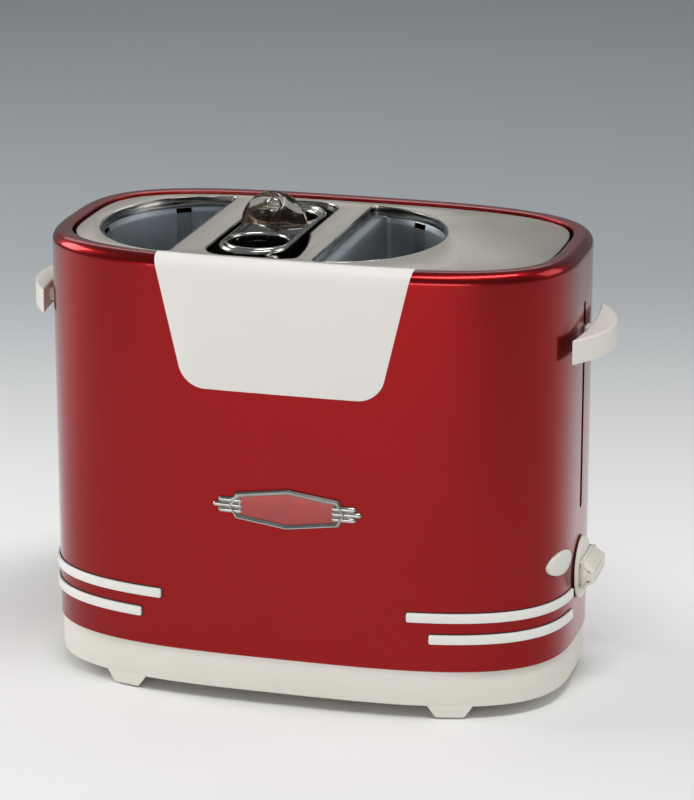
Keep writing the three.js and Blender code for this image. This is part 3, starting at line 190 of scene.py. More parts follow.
def plan_point(turn, inset):
    """A point of the body's oval plan, moved inwards along the normal."""
    power = bpy.context.scene.toaster_body.squareness
    c, s = math.cos(2 * math.pi * turn), math.sin(2 * math.pi * turn)
    reach = (abs(c) ** power + abs(s) ** power) ** (-1 / power)
    normal = Vector((
        math.copysign(abs(reach * c) ** (power - 1) / half_width, c),
        math.copysign(abs(reach * s) ** (power - 1) / half_depth, s))).normalized()
    return Vector((half_width * reach * c, half_depth * reach * s)) - inset * normal


def plan_ring(inset, height, steps=PLAN_STEPS):
    return [Vector((*plan_point(i / steps, inset), height)) for i in range(steps)]


def front_runs(inset, steps=3000):
    """Turns and running lengths from the middle of the front round to the right end's rear."""
    turns = [0.75 + 0.3 * i / steps for i in range(steps + 1)]
    runs, last = [0.0], plan_point(turns[0], 0)
    for turn in turns[1:]:
        point = plan_point(turn, 0)
        runs.append(runs[-1] + (point - last).length)
        last = point
    return runs, turns, [plan_point(turn, inset) for turn in turns]


def run_at(value, axis, inset=0.0):
    """Running length along the front wall to where X or Y has a value."""
    runs, _, points = front_runs(inset, 1200)
    for run, point in zip(runs, points):
        if point[axis] >= value:
            return run
    raise RuntimeError("the front wall doesn't reach that place")


class Wall:
    """Bends flat coordinates (run along the front, height, distance out) onto the shell."""

    def __init__(self, shoulder, rear=False):
        self.runs, self.turns, _ = front_runs(0)
        self.shoulder, self.rear = shoulder, rear

    def place(self, flat):
        run, height, out = flat
        step = self.runs[-1] / (len(self.runs) - 1)
        at = abs(run)
        i = min(int(at / step), len(self.runs) - 2)
        while i > 0 and self.runs[i] > at:
            i -= 1
        while i < len(self.runs) - 2 and self.runs[i + 1] < at:
            i += 1
        share = (at - self.runs[i]) / (self.runs[i + 1] - self.runs[i])
        turn = self.turns[i] + share * (self.turns[i + 1] - self.turns[i])
        radius, start = self.shoulder, rim_top - self.shoulder
        rise, arc = height - start, radius * math.pi / 2
        if rise <= 0:
            inset, level = -out, height
        elif rise <= arc:
            inset = radius - (radius + out) * math.cos(rise / radius)
            level = start + (radius + out) * math.sin(rise / radius)
        else:
            inset, level = radius + rise - arc, rim_top + out
        point = plan_point(turn, inset)
        return Vector((math.copysign(point.x, run), -point.y if self.rear else point.y, level))

    def bend(self, bm, cut=0.003, shoulder_cut=0.0008):
        """Cuts the flat piece into strips and places each vertex on the wall."""
        runs = [v.co.x for v in bm.verts]
        heights = [v.co.y for v in bm.verts]
        start = rim_top - self.shoulder
        strips = range(math.ceil(min(runs) / cut), math.ceil(max(runs) / cut))
        planes = [((number * cut, 0, 0), (1, 0, 0)) for number in strips]
        level = max(start - 2 * shoulder_cut, min(heights) + shoulder_cut / 2)
        while level < min(max(heights), start + self.shoulder * math.pi / 2 + shoulder_cut):
            planes.append(((0, level, 0), (0, 1, 0)))
            level += shoulder_cut
        for point, normal in planes:
            geometry = bm.verts[:] + bm.edges[:] + bm.faces[:]
            bmesh.ops.bisect_plane(bm, geom=geometry, dist=1e-7, plane_co=point, plane_no=normal)
        for vert in bm.verts:
            vert.co = self.place(vert.co)
        bmesh.ops.recalc_face_normals(bm, faces=bm.faces)


def skin(bm, rings, closed=False, capped=False):
    """Carries a loop from ring to ring by extruding it; closed joins the last ring to the first."""
    order = bm.verts.layers.int.get("order") or bm.verts.layers.int.new("order")
    first = bmesh.ops.create_circle(bm, segments=len(rings[0]), radius=1)["verts"]
    for number, vert in enumerate(first):
        vert[order] = number
        vert.co = rings[0][number]
    start = edges = list(dict.fromkeys(edge for vert in first for edge in vert.link_edges))
    for ring in rings[1:] + ([rings[0]] if closed else []):
        made = bmesh.ops.extrude_edge_only(bm, edges=edges)["geom"]
        verts = {part for part in made if isinstance(part, bmesh.types.BMVert)}
        for vert in verts:
            vert.co = ring[vert[order]]
        edges = [part for part in made if isinstance(part, bmesh.types.BMEdge) and set(part.verts) <= verts]
    if capped:
        bmesh.ops.edgeloop_fill(bm, edges=start)
        bmesh.ops.edgeloop_fill(bm, edges=edges)
    return start, edges


def tidy(bm):
    """Welds seams and turns every face outwards."""
    bmesh.ops.remove_doubles(bm, verts=bm.verts, dist=2e-6)
    bmesh.ops.recalc_face_normals(bm, faces=bm.faces)
    if bm.calc_volume(signed=True) < 0:
        bmesh.ops.reverse_faces(bm, faces=bm.faces)
    return bm


def rounded(bm, geom, offset, segments=EASE_STEPS, affect="EDGES"):
    bmesh.ops.bevel(bm, geom=geom, offset=offset, segments=segments, profile=0.5, affect=affect, material=-1)


def spun(profile, centre, axis, steps):
    """Spins an open profile, whose ends lie on the axis, into a closed solid."""
    bm = bmesh.new()
    verts = [bm.verts.new(point) for point in profile]
    edges = [bm.edges.new(pair) for pair in zip(verts, verts[1:])]
    bmesh.ops.spin(
        bm, geom=verts + edges, cent=centre, axis=axis, angle=2 * math.pi, steps=steps, use_merge=True)
    return tidy(bm)


def raised(bm, out):
    bmesh.ops.translate(bm, verts=bm.verts, vec=(0, 0, out))
    return bm


def skinned(rings, closed=False, capped=False):
    bm = bmesh.new()
    skin(bm, rings, closed, capped)
    return tidy(bm)


def flat_plate(corners, radii, depth, ease=0.0):
    """A plate from its outline's corners, each rounded, with the edge of its face eased."""
    bm = bmesh.new()
    verts = [bm.verts.new((x, y, 0)) for x, y in corners]
    bm.faces.new(verts)
    for i, (vert, radius) in enumerate(zip(verts, radii)):
        if not radius:
            continue
        before = (Vector(corners[i - 1]) - Vector(corners[i])).normalized()
        after = (Vector(corners[(i + 1) % len(corners)]) - Vector(corners[i])).normalized()
        rounded(bm, [vert], radius / math.tan(before.angle(after) / 2), ARC_STEPS, "VERTICES")
    made = bmesh.ops.extrude_face_region(bm, geom=bm.faces[:])["geom"]
    verts = [part for part in made if isinstance(part, bmesh.types.BMVert)]
    bmesh.ops.translate(bm, verts=verts, vec=(0, 0, depth))
    bmesh.ops.recalc_face_normals(bm, faces=bm.faces)
    if ease:
        rounded(bm, [edge for edge in bm.edges if all(v.co.z > depth * 0.99 for v in edge.verts)], ease)
    return bm


def block(start, end, ease=0.0):
    """A box by its two corners, with its edges eased."""
    bm = bmesh.new()
    middle = (Vector(start) + Vector(end)) / 2
    size = Vector(end) - Vector(start)
    bmesh.ops.create_cube(bm, size=1, matrix=Matrix.Translation(middle) @ Matrix.Diagonal((*size, 1)))
    if ease:
        rounded(bm, bm.edges[:], ease)
    return bm


def rod(axis, start, end, radius, sides=32, ease=0.0):
    """A round bar between two points along an axis, with its end edges eased."""
    bm = bmesh.new()
    start, end = Vector(start), Vector(end)
    turn = (end - start).to_track_quat("Z", "Y").to_matrix().to_4x4()
    bmesh.ops.create_cone(
        bm, cap_ends=True, segments=sides, radius1=radius, radius2=radius, depth=(end - start).length,
        matrix=Matrix.Translation((start + end) / 2) @ turn)
    if ease:
        rounded(bm, [e for e in bm.edges if abs(e.verts[0].co[axis] - e.verts[1].co[axis]) < 1e-7], ease)
    return bm


def ease_edges(bm, offset, angle=30, segments=EASE_STEPS):
    """Rounds every edge sharper than an angle."""
    sharp = math.radians(angle)
    edges = [e for e in bm.edges if len(e.link_faces) == 2 and e.calc_face_angle(0) > sharp]
    rounded(bm, edges, offset, segments)
    return bm


def turned(bm, right, up, out, origin=(0, 0, 0)):
    """Stands a flat piece up: its X, Y and Z go along three directions from an origin."""
    matrix = Matrix((right, up, out)).transposed().to_4x4()
    matrix.translation = origin
    bmesh.ops.transform(bm, matrix=matrix, verts=bm.verts)
    if matrix.determinant() < 0:
        bmesh.ops.reverse_faces(bm, faces=bm.faces)
    return bm


def facing_front(bm, origin):
    return turned(bm, (1, 0, 0), (0, 0, 1), (0, -1, 0), origin)


def merged(*shapes):
    """Several shapes as one."""
    whole = shapes[0]
    for shape in shapes[1:]:
        mesh = bpy.data.meshes.new("merged")
        shape.to_mesh(mesh)
        shape.free()
        whole.from_mesh(mesh)
        bpy.data.meshes.remove(mesh)
    return whole


def carved(bm, tools, operation="DIFFERENCE"):
    """Cuts a shape with tools, or keeps what it shares with them."""
    objects = []
    for shape in [bm, *tools]:
        mesh = bpy.data.meshes.new("carving")
        shape.to_mesh(mesh)
        shape.free()
        objects.append(bpy.data.objects.new("carving", mesh))
        bpy.context.scene.collection.objects.link(objects[-1])
    for tool in objects[1:]:
        modifier = objects[0].modifiers.new("cut", "BOOLEAN")
        modifier.operation, modifier.solver, modifier.object = operation, "EXACT", tool
    result = bmesh.new()
    result.from_object(objects[0], bpy.context.evaluated_depsgraph_get())
    for made in objects:
        mesh = made.data
        bpy.data.objects.remove(made)
        bpy.data.meshes.remove(mesh)
    if not result.faces:
        raise RuntimeError("a cut left nothing")
    return result


def piece(context, name, bm, look, body, *nodes, slot=None, sharp=32, second=None, chosen=None):
    """Makes the object, gives it its finish, and lets it ride on a body in place of its CAD nodes.
    The chosen faces get a second finish."""
    if second:
        bm.normal_update()
        for face in filter(chosen, bm.faces):
            face.material_index = 1
    mesh = bpy.data.meshes.new(name)
    bm.to_mesh(mesh)
    bm.free()
    if "order" in mesh.attributes:
        mesh.attributes.remove(mesh.attributes["order"])
    mesh.shade_smooth()
    mesh.set_sharp_from_angle(angle=math.radians(sharp))
    for key in filter(None, (look, second)):
        mesh.materials.append(finish(context, key))
    made = bpy.data.objects.new(name, mesh)
    bpy.context.scene.collection.objects.link(made)
    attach(made, body)
    if nodes:
        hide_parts(*nodes)


# ---------------------------------------------------------------- outlines


def well_outline(context, side, grow, ledge, height):
    """A well's half oval at a height; grow widens it and ledge moves its flat side in."""
    wells = sizes(context, "wells")
    reach, half, flat, corner = wells.reach + grow, wells.half + grow, ledge - grow, wells.corner
    fillet = flat + corner
    meet, swing = half * math.sqrt(1 - (fillet / reach) ** 2), math.acos(fillet / reach)
    points = []
    for i in range(81):
        angle = swing * (i / 40 - 1)
        points.append((reach * math.cos(angle), half * math.sin(angle)))
    for end, start in ((1, 0.5), (-1, 1.0)):
        for i in range(ARC_STEPS + 1):
            angle = math.pi * (start + 0.5 * i / ARC_STEPS)
            points.append((fillet + corner * math.cos(angle), end * (meet - corner) + corner * math.sin(angle)))
    return [Vector((wells.bay_x + side * (wells.offset + x), y, height)) for x, y in points]


def bay_outline(context, grow, height):
    """The basket bay at a height, wider at the front right for a finger."""
    wells = sizes(context, "wells")
    half, end, corner = wells.bay_half + grow, wells.half + grow, wells.bay_corner
    finger, turn, bend, start = half + wells.finger, 0.008, -0.032, -0.006
    points = []
    for a, b, c in (
            ((finger - turn, -end), (finger, -end), (finger, turn - end)),
            ((finger, turn - end), (finger, bend), (half, start))):
        for i in range(ARC_STEPS + 1):
            t = i / ARC_STEPS
            points.append(tuple(
                (1 - t) ** 2 * a[k] + 2 * t * (1 - t) * b[k] + t * t * c[k] for k in range(2)))
    points.pop(ARC_STEPS)
    for x, y, begin in ((half, end, 0.0), (-half, end, 0.5), (-half, -end, 1.0)):
        for i in range(ARC_STEPS + 1):
            angle = math.pi * (begin + 0.5 * i / ARC_STEPS)
            points.append((
                x - math.copysign(corner, x) + corner * math.cos(angle),
                y - math.copysign(corner, y) + corner * math.sin(angle)))
    return [Vector((wells.bay_x + x, y, height)) for x, y in points]


def round_outline(middle, half_x, half_y, corner, height):
    """A rectangle with round corners at a height."""
    points = []
    for sx, sy, begin in ((1, 1, 0.0), (-1, 1, 0.5), (-1, -1, 1.0), (1, -1, 1.5)):
        for i in range(2 * ARC_STEPS + 1):
            angle = math.pi * (begin + 0.25 * i / ARC_STEPS)
            points.append(Vector((
                middle[0] + sx * (half_x - corner) + corner * math.cos(angle),
                middle[1] + sy * (half_y - corner) + corner * math.sin(angle), height)))
    return points


def full_turn(steps=64):
    """Cosine and sine pairs of a full turn."""
    return [(math.cos(2 * math.pi * i / steps), math.sin(2 * math.pi * i / steps)) for i in range(steps)]


def circle(middle, radius, height):
    return [Vector((middle[0] + radius * c, middle[1] + radius * s, height)) for c, s in full_turn()]


def oval_ring(middle, x, grow=0.0):
    """The stop button's oval at a place along X."""
    half_y, half_z = BUTTON_HALF[0] + grow, BUTTON_HALF[1] + grow
    return [Vector((x, middle.y + half_y * c, middle.z + half_z * s)) for c, s in full_turn()]


def quarter(steps=4):
    """Sine and cosine pairs of a quarter turn."""
    return [(math.sin(math.pi / 2 * i / steps), math.cos(math.pi / 2 * i / steps)) for i in range(steps + 1)]


# ---------------------------------------------------------------- finishes


def add_node(tree, kind, links=None, **settings):
    """Adds a node: its settings, and for each input a value or the socket that feeds it."""
    node = tree.nodes.new(kind)
    for key, value in settings.items():
        setattr(node, key, value)
    for key, value in (links or {}).items():
        if isinstance(value, bpy.types.NodeSocket):
            tree.links.new(value, node.inputs[key])
        else:
            node.inputs[key].default_value = value
    return node


def start_finish(name, **uniform):
    """A material with the values that are the same all over it."""
    material = bpy.data.materials.new(name)
    material.use_nodes = True
    surface = material.node_tree.nodes["Principled BSDF"]
    for key, value in uniform.items():
        surface.inputs[key.replace("_", " ")].default_value = value
    place = add_node(material.node_tree, "ShaderNodeTexCoord").outputs["Object"]
    return material, material.node_tree, surface, place


def per_metre(millimetres):
    """A texture's scale for a feature of a size in millimetres."""
    return 1000 / millimetres


def shade(rgb, factor):
    return (*(min(1, c * factor) for c in rgb), 1)


def hexes(code, other):
    return (*linear(code), 1), (*linear(other), 1)


def tones(context, name, low_factor, high_factor):
    """Two shades of a colour that the user can change."""
    rgb = getattr(sizes(context, "colours"), name)
    return shade(rgb, low_factor), shade(rgb, high_factor)


def dress(tree, surface, pattern, pair, rough, gloss=None, span=(0.0, 1.0), relief=None, height=None):
    """One pattern drives the tone, and this or another one the roughness and the relief, which is
    a bump's strength and distance."""
    tone = add_node(tree, "ShaderNodeMix", {0: pattern, 6: pair[0], 7: pair[1]}, data_type="RGBA")
    tree.links.new(tone.outputs[2], surface.inputs["Base Color"])
    spread = add_node(tree, "ShaderNodeMapRange", {
        "Value": gloss or pattern, "From Min": span[0], "From Max": span[1],
        "To Min": rough[0], "To Max": rough[1]})
    tree.links.new(spread.outputs["Result"], surface.inputs["Roughness"])
    if relief:
        bump = add_node(tree, "ShaderNodeBump", {
            "Strength": relief[0], "Distance": relief[1], "Height": height or pattern})
        tree.links.new(bump.outputs["Normal"], surface.inputs["Normal"])


def candy_lacquer(context):
    """Metallic red lacquer on sheet steel, sprayed in thin coats over aluminium flake under clear
    varnish: a deep soft red with a hard gloss. Flakes of 0.05 mm are drawn 0.5 mm wide to show."""
    material, tree, surface, place = start_finish(
        "candy_red_lacquer", Metallic=1.0, Coat_Weight=1.0, Coat_Roughness=0.03, Coat_IOR=1.27)
    flake = add_node(tree, "ShaderNodeTexVoronoi", {"Vector": place, "Scale": per_metre(0.5)})
    cloud = add_node(tree, "ShaderNodeTexNoise", {"Vector": place, "Scale": per_metre(60), "Detail": 2.0})
    dress(tree, surface, cloud.outputs["Fac"], tones(context, "lacquer", 0.94, 1.06), (0.26, 0.32),
          flake.outputs["Distance"], (0.0, 0.8))
    tone = surface.inputs["Base Color"].links[0].from_socket
    spark = add_node(tree, "ShaderNodeMix", {
        0: 0.06, 6: tone, 7: flake.outputs["Color"]}, data_type="RGBA", blend_type="OVERLAY")
    tree.links.new(spark.outputs[2], surface.inputs["Base Color"])
    peel = add_node(tree, "ShaderNodeTexNoise", {"Vector": place, "Scale": per_metre(4), "Detail": 1.0})
    bump = add_node(tree, "ShaderNodeBump", {
        "Strength": 0.02, "Distance": 0.0001, "Height": peel.outputs["Fac"]})
    tree.links.new(bump.outputs["Normal"], surface.inputs["Coat Normal"])
    return material


def cream_plastic(context):
    """Moulded ABS from a polished tool: an even warm white, faintly mottled, with a soft sheen."""
    material, tree, surface, place = start_finish(
        "cream_abs", IOR=1.54, Subsurface_Weight=0.06, Subsurface_Scale=0.002, Subsurface_Radius=(1.0, 0.8, 0.6))
    cloud = add_node(tree, "ShaderNodeTexNoise", {"Vector": place, "Scale": per_metre(18), "Detail": 3.0})
    grain = add_node(tree, "ShaderNodeTexNoise", {"Vector": place, "Scale": per_metre(0.7), "Detail": 2.0})
    dress(tree, surface, cloud.outputs["Fac"], tones(context, "cream", 0.96, 1.03), (0.26, 0.38),
          grain.outputs["Fac"], relief=(0.12, 0.00002), height=grain.outputs["Fac"])
    return material


def satin_steel(context):
    """Stainless sheet ground with a fine belt along its length: warm grey, with hairlines about
    0.35 mm wide and up to 30 mm long that blur reflections across them."""
    material, tree, surface, place = start_finish("satin_stainless_steel", Metallic=1.0)
    along = add_node(tree, "ShaderNodeMapping", {"Vector": place, "Scale": (0.012, 1.0, 1.0)})
    hair = add_node(tree, "ShaderNodeTexNoise", {
        "Vector": along.outputs["Vector"], "Scale": per_metre(0.35), "Detail": 3.0, "Roughness": 0.6})
    cloud = add_node(tree, "ShaderNodeTexNoise", {"Vector": place, "Scale": per_metre(45), "Detail": 2.0})
    mixed = add_node(tree, "ShaderNodeMath", {0: hair.outputs["Fac"], 1: cloud.outputs["Fac"]}, operation="ADD")
    dress(tree, surface, hair.outputs["Fac"], tones(context, "satin", 0.93, 1.05), (0.40, 0.52),
          mixed.outputs["Value"], (0.5, 1.5), (0.1, 0.00001))
    return material


def polished_steel(context):
    """Stainless sheet where it was drawn through a die, used on folds and rims: streaked along the bend,
    with lines 1.6 mm wide and some 25 mm long. Its colour swings between dark and bright streaks: painted
    reflection of the dark well and painted highlights; the streaks' roughness and relief are the steel's own."""
    material, tree, surface, place = start_finish("drawn_stainless_steel", Metallic=1.0)
    along = add_node(tree, "ShaderNodeMapping", {"Vector": place, "Scale": (0.06, 0.06, 1.0)})
    streak = add_node(tree, "ShaderNodeTexNoise", {
        "Vector": along.outputs["Vector"], "Scale": per_metre(1.6), "Detail": 3.0, "Roughness": 0.55})
    spread = add_node(tree, "ShaderNodeMapRange", {
        "Value": streak.outputs["Fac"], "From Min": 0.38, "From Max": 0.62})
    # the dark and bright tones of the streaks are painted reflection of the well and painted highlight
    dress(tree, surface, spread.outputs["Result"], hexes("#5f5b56", "#dad7d1"), (0.1, 0.22),
          streak.outputs["Fac"], relief=(0.25, 0.0002), height=streak.outputs["Fac"])
    return material


def aluminised_steel(context):
    """Steel sheet dipped in aluminium and baked by the heaters: a dull blue grey, cloudy over
    some 20 mm, with a fine spangle of about 1.5 mm."""
    material, tree, surface, place = start_finish("aluminised_steel", Metallic=0.85)
    cloud = add_node(tree, "ShaderNodeTexNoise", {
        "Vector": place, "Scale": per_metre(20), "Detail": 4.0, "Roughness": 0.6})
    spangle = add_node(tree, "ShaderNodeTexVoronoi", {"Vector": place, "Scale": per_metre(1.5)})
    dress(tree, surface, cloud.outputs["Fac"], tones(context, "liner", 0.72, 1.2), (0.36, 0.52),
          spangle.outputs["Distance"], (0.0, 0.8), (0.15, 0.00003))
    return material


def copper_winding(context):
    """Enamelled copper wire wound on a bobbin: bands of one wire, 0.3 mm drawn as 0.7 mm."""
    material, tree, surface, place = start_finish("enamelled_copper_wire", Metallic=0.9, Coat_Weight=0.6)
    turns = add_node(tree, "ShaderNodeTexWave", {
        "Vector": place, "Scale": per_metre(0.7) / 6.283}, bands_direction="Z")
    dress(tree, surface, turns.outputs["Fac"], hexes("#6f3c20", "#b8703f"), (0.45, 0.25), relief=(0.6, 0.0002))
    return material


MAKERS = {
    "red_enamel": candy_lacquer, "cream_plastic": cream_plastic, "satin_steel": satin_steel,
    "polished_steel": polished_steel, "aluminised_steel": aluminised_steel, "copper_winding": copper_winding}

# Finishes in which one noise drives all: name, colour with two factors or two tones, pattern size in
# mm and its detail, roughness range with the pattern's range, relief, and the uniform values
ONE_NOISE = {
    # Stove enamel on thin sheet: smooth and pale, with slight orange peel about 3 mm across
    "label_paint": ("cream_stove_enamel", ("label", 0.985, 1.015), 3, 2.0, (0.45, 0.55), (0, 1), (0.08, 0.00004),
                    {"Coat_Weight": 0.1, "Coat_Roughness": 0.15}),
    # Aluminium strip with baked white enamel: near white and smooth
    "white_inlay": ("white_enamel_strip", ("inlay", 0.97, 1.02), 2.5, 2.0, (0.26, 0.34), (0, 1), None,
                    {"Coat_Weight": 0.5, "Coat_Roughness": 0.08}),
    # Red enamel poured into the badge: deep and glossy, slightly uneven where it pooled
    "badge_red": ("red_badge_enamel", ("badge", 0.82, 1.2), 9, 3.0, (0.3, 0.42), (0, 1), None,
                  {"Metallic": 0.25, "Coat_Weight": 0.8, "Coat_Roughness": 0.06}),
    # Chrome over brushed nickel: a soft, faintly warm mirror, dulled in places by polishing haze
    "chrome_plate": ("chrome_plate", ("#a9a7a3", "#c9c7c2"), 6, 4.0, (0.14, 0.26), (0, 1), None,
                     {"Metallic": 1.0}),
    # Cast acrylic tinted brown: clear and glossy, dark over the bay, with faint handling haze
    "smoked_plastic": ("smoked_acrylic", ("smoke", 0.95, 1.04), 9, 2.0, (0.02, 0.05), (0.4, 0.8), None,
                       {"IOR": 1.49, "Transmission_Weight": 0.95}),
}

NOISE, CELLS = "ShaderNodeTexNoise", "ShaderNodeTexVoronoi"
# Finishes of hidden pieces: name, two tones, pattern size in mm, roughness range, metallic, relief, pattern
PLAIN = {
    # Natural rubber, moulded with a matt face: near black, dusty where it is touched
    "black_rubber": ("moulded_rubber", "#1b1a19", "#2c2a28", 0.8, (0.7, 0.9), 0.0, 0.3, NOISE),
    # Heat-resistant thermoset, pressed: dark with a dull grain
    "black_plastic": ("pressed_thermoset", "#171716", "#262524", 0.6, (0.4, 0.6), 0.0, 0.2, NOISE),
    # Hot-dip galvanised sheet: grey spangles some 5 mm across, each with its own gloss
    "galvanised_steel": ("galvanised_sheet", "#8a8d90", "#b4b7b9", 5.0, (0.3, 0.55), 0.9, 0.1, CELLS),
    # Pressed mica: pale brown flakes about 3 mm wide with a silky gloss
    "mica_board": ("pressed_mica", "#8f7f60", "#c2b493", 3.0, (0.35, 0.75), 0.1, 0.4, CELLS),
    # Resistance alloy after many heatings: a dull brown oxide with straw patches
    "heater_alloy": ("oxidised_heater_alloy", "#4a423c", "#867b70", 4.0, (0.45, 0.7), 0.8, 0.2, NOISE),
    # Stainless sheet buffed to a mirror, with buffing haze of 12 mm; its colour is painted dark, and on the
    # basket's top sheet this dark is painted shade and reflection of the bay
    "mirror_steel": ("buffed_stainless_steel", "#5d5954", "#7d7871", 12.0, (0.05, 0.14), 1.0, 0.02, NOISE),
    # Steel sheet blackened by heat: brown black, duller where the scale is thick; on the basket chamber this near
    # black is painted shade, standing in for the shade deep in the bay
    "blackened_steel": ("heat_blackened_steel", "#191716", "#2e2a26", 9.0, (0.35, 0.6), 0.7, 0.1, NOISE),
    # Drawn spring wire, phosphated: dark grey with draw marks
    "spring_steel": ("drawn_spring_wire", "#686b6e", "#9a9da0", 1.2, (0.3, 0.45), 1.0, 0.1, NOISE),
    # Glass fibre board under solder resist: green, with the weave of 0.5 mm showing through
    "circuit_board": ("glass_fibre_board", "#1f4a2c", "#3a7048", 0.5, (0.35, 0.5), 0.0, 0.2, CELLS),
}


def one_noise(context, name, colours, feature, detail, rough, span, relief, uniform):
    material, tree, surface, place = start_finish(name, **uniform)
    noise = add_node(tree, NOISE, {"Vector": place, "Scale": per_metre(feature), "Detail": detail})
    pair = tones(context, *colours) if len(colours) == 3 else hexes(*colours)
    dress(tree, surface, noise.outputs["Fac"], pair, rough, span=span, relief=relief)
    return material


def plain_finish(name, code, other, feature, rough, metallic, bump, kind):
    material, tree, surface, place = start_finish(name, Metallic=metallic)
    pattern = add_node(tree, kind, {"Vector": place, "Scale": per_metre(feature)})
    dress(tree, surface, pattern.outputs[0], hexes(code, other), rough, relief=(bump, 0.0001))
    return material


made_finishes = {}


def finish(context, slot):
    """The finish of a material slot, made once."""
    if slot not in made_finishes:
        if slot in MAKERS:
            made_finishes[slot] = MAKERS[slot](context)
        elif slot in ONE_NOISE:
            made_finishes[slot] = one_noise(context, *ONE_NOISE[slot])
        else:
            made_finishes[slot] = plain_finish(*PLAIN[slot])
    return made_finishes[slot]


# ---------------------------------------------------------------- operators


class MakeShell(bpy.types.Operator):
    """Outer shell: lacquered sheet with a rounded shoulder and a rim that turns in and down"""
    bl_idname = "toaster.make_shell"
    bl_label = "Outer shell"

    def execute(self, context):
        body = sizes(context, "body")
        radius, sheet = body.shoulder, body.sheet
        start = rim_top - radius
        fold = 0.0006
        profile = [(0.0003, shell_low), (0, shell_low + 0.0003), (0, shell_low + 0.0012), (0, start - 0.0008)]
        profile += [(radius - radius * c, start + radius * s) for s, c in quarter(10)]
        level = rim_top - 0.0004
        profile += [(body.rim_inner - fold * (1 - s), level - fold * (1 - c)) for s, c in quarter(3)]
        profile += [
            (body.rim_inner, level - body.rim_lip), (body.rim_inner - sheet, level - body.rim_lip),
            (body.rim_inner - sheet, level - sheet)]
        bore = radius - sheet
        profile += [(radius - bore * c, start + bore * s) for s, c in reversed(quarter(6))]
        profile += [(sheet, shell_low)]
        bm = skinned([plan_ring(*point) for point in profile], closed=True)
        out = half_width + 0.005
        below, above = 0.0937, 0.0133  # the carriage's travel with the arm's play, and room above it
        slot = (body.slot_half, low("lever_arm", 2) - below, high("lever_arm", 2) + above)
        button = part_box("stop_button")
        middle = (button[0] + button[1]) / 2
        oval = skinned([oval_ring(middle, x, SEAT) for x in (out - 0.02, out)], capped=True)
        knob_z = (low("control_knob", 2) + high("control_knob", 2)) / 2
        grip_z = (low("left_handle", 2) + high("left_handle", 2)) / 2
        slot_tool = flat_plate(
            [(-slot[0], slot[1]), (slot[0], slot[1]), (slot[0], slot[2]), (-slot[0], slot[2])],
            [slot[0] * 0.96] * 4, 0.02)
        turned(slot_tool, (0, 1, 0), (0, 0, 1), (1, 0, 0), (out - 0.02, 0, 0))
        tools = [slot_tool, oval, rod(0, (out - 0.02, 0, knob_z), (out, 0, knob_z), 0.0056)]
        tools += [rod(0, (-out, y, grip_z), (0.02 - out, y, grip_z), 0.0038) for y in SCREW_SIDES]
        piece(context, "toaster_shell", carved(bm, tools), "red_enamel", "housing_body", "outer_shell")
        return {"FINISHED"}


class MakeBase(bpy.types.Operator):
    """Base: cream moulding with four feet, and the rubber pads let into them"""
    bl_idname = "toaster.make_base"
    bl_label = "Base and feet"

    def execute(self, context):
        body = sizes(context, "body")
        inset, wall = body.base_inset, body.base_wall
        bottom = 0.007  # height of the base's underside
        floor_top = bottom + wall
        inner, edge = inset + wall, 0.0012
        profile = [(inner + wall, bottom)]
        profile += [(inset + edge * (1 - s), bottom + edge * (1 - c)) for s, c in quarter(4)]
        profile += [
            (inset, base_top - 0.0004), (inset + 0.0002, base_top), (body.sheet + SEAT, base_top),
            (body.sheet + SEAT, base_top + 0.004), (inner, base_top + 0.004),
            (inner, floor_top), (inner + wall, floor_top)]
        bm = skinned([plan_ring(*point) for point in profile], capped=True)
        tray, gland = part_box("tray_pull"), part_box("cord_gland")
        gland_middle = (gland[0] + gland[1]) / 2
        tools = [
            block((tray[0].x - SEAT, 0.062, floor_top), (tray[1].x + SEAT, 0.1, tray[1].z + SEAT)),
            rod(1, (gland_middle.x, 0.05, gland_middle.z), (gland_middle.x, 0.1, gland_middle.z), 0.0058)]
        tools += [block((x / 1000, -0.017, 0), ((x + 3) / 1000, 0.017, 0.015)) for x in (66, 74, 82, 90)]
        bm = carved(bm, tools)
        stand = 0.0008
        feet = []
        for x in (-body.foot_spread, body.foot_spread):
            for side in (-1, 1):
                outline = [
                    (x - body.foot_bottom / 2, stand), (x + body.foot_bottom / 2, stand),
                    (x + body.foot_top / 2, floor_top - 0.0001), (x - body.foot_top / 2, floor_top - 0.0001)]
                bar = flat_plate(outline, [0.0022, 0.0022, 0, 0], body.foot_length + 0.001)
                start = side * (half_depth + (0.0 if side < 0 else -body.foot_length))
                behind = body.foot_length + (0.001 if side > 0 else 0)
                facing_front(bar, (0, start + behind, 0))
                plan = skinned([plan_ring(inset + 0.00002, z) for z in (0, floor_top + 0.001)], capped=True)
                feet.append(ease_edges(carved(bar, [plan], "INTERSECT"), 0.0007, angle=40))
        piece(context, "toaster_base", merged(bm, *feet), "cream_plastic", "housing_body", "base")
        pads = []
        names = [f"rubber_pad_{face}_{end}" for face in ("front", "rear") for end in ("left", "right")]
        for name in names:
            start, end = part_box(name)
            x, y = (start.x + end.x) / 2, (start.y + end.y) / 2
            pads.append(rod(2, (x, y, start.z), (x, y, end.z), (end.x - start.x) / 2, ease=0.0004))
        piece(context, "rubber_pads", merged(*pads), "black_rubber", "housing_body", *names)
        return {"FINISHED"}


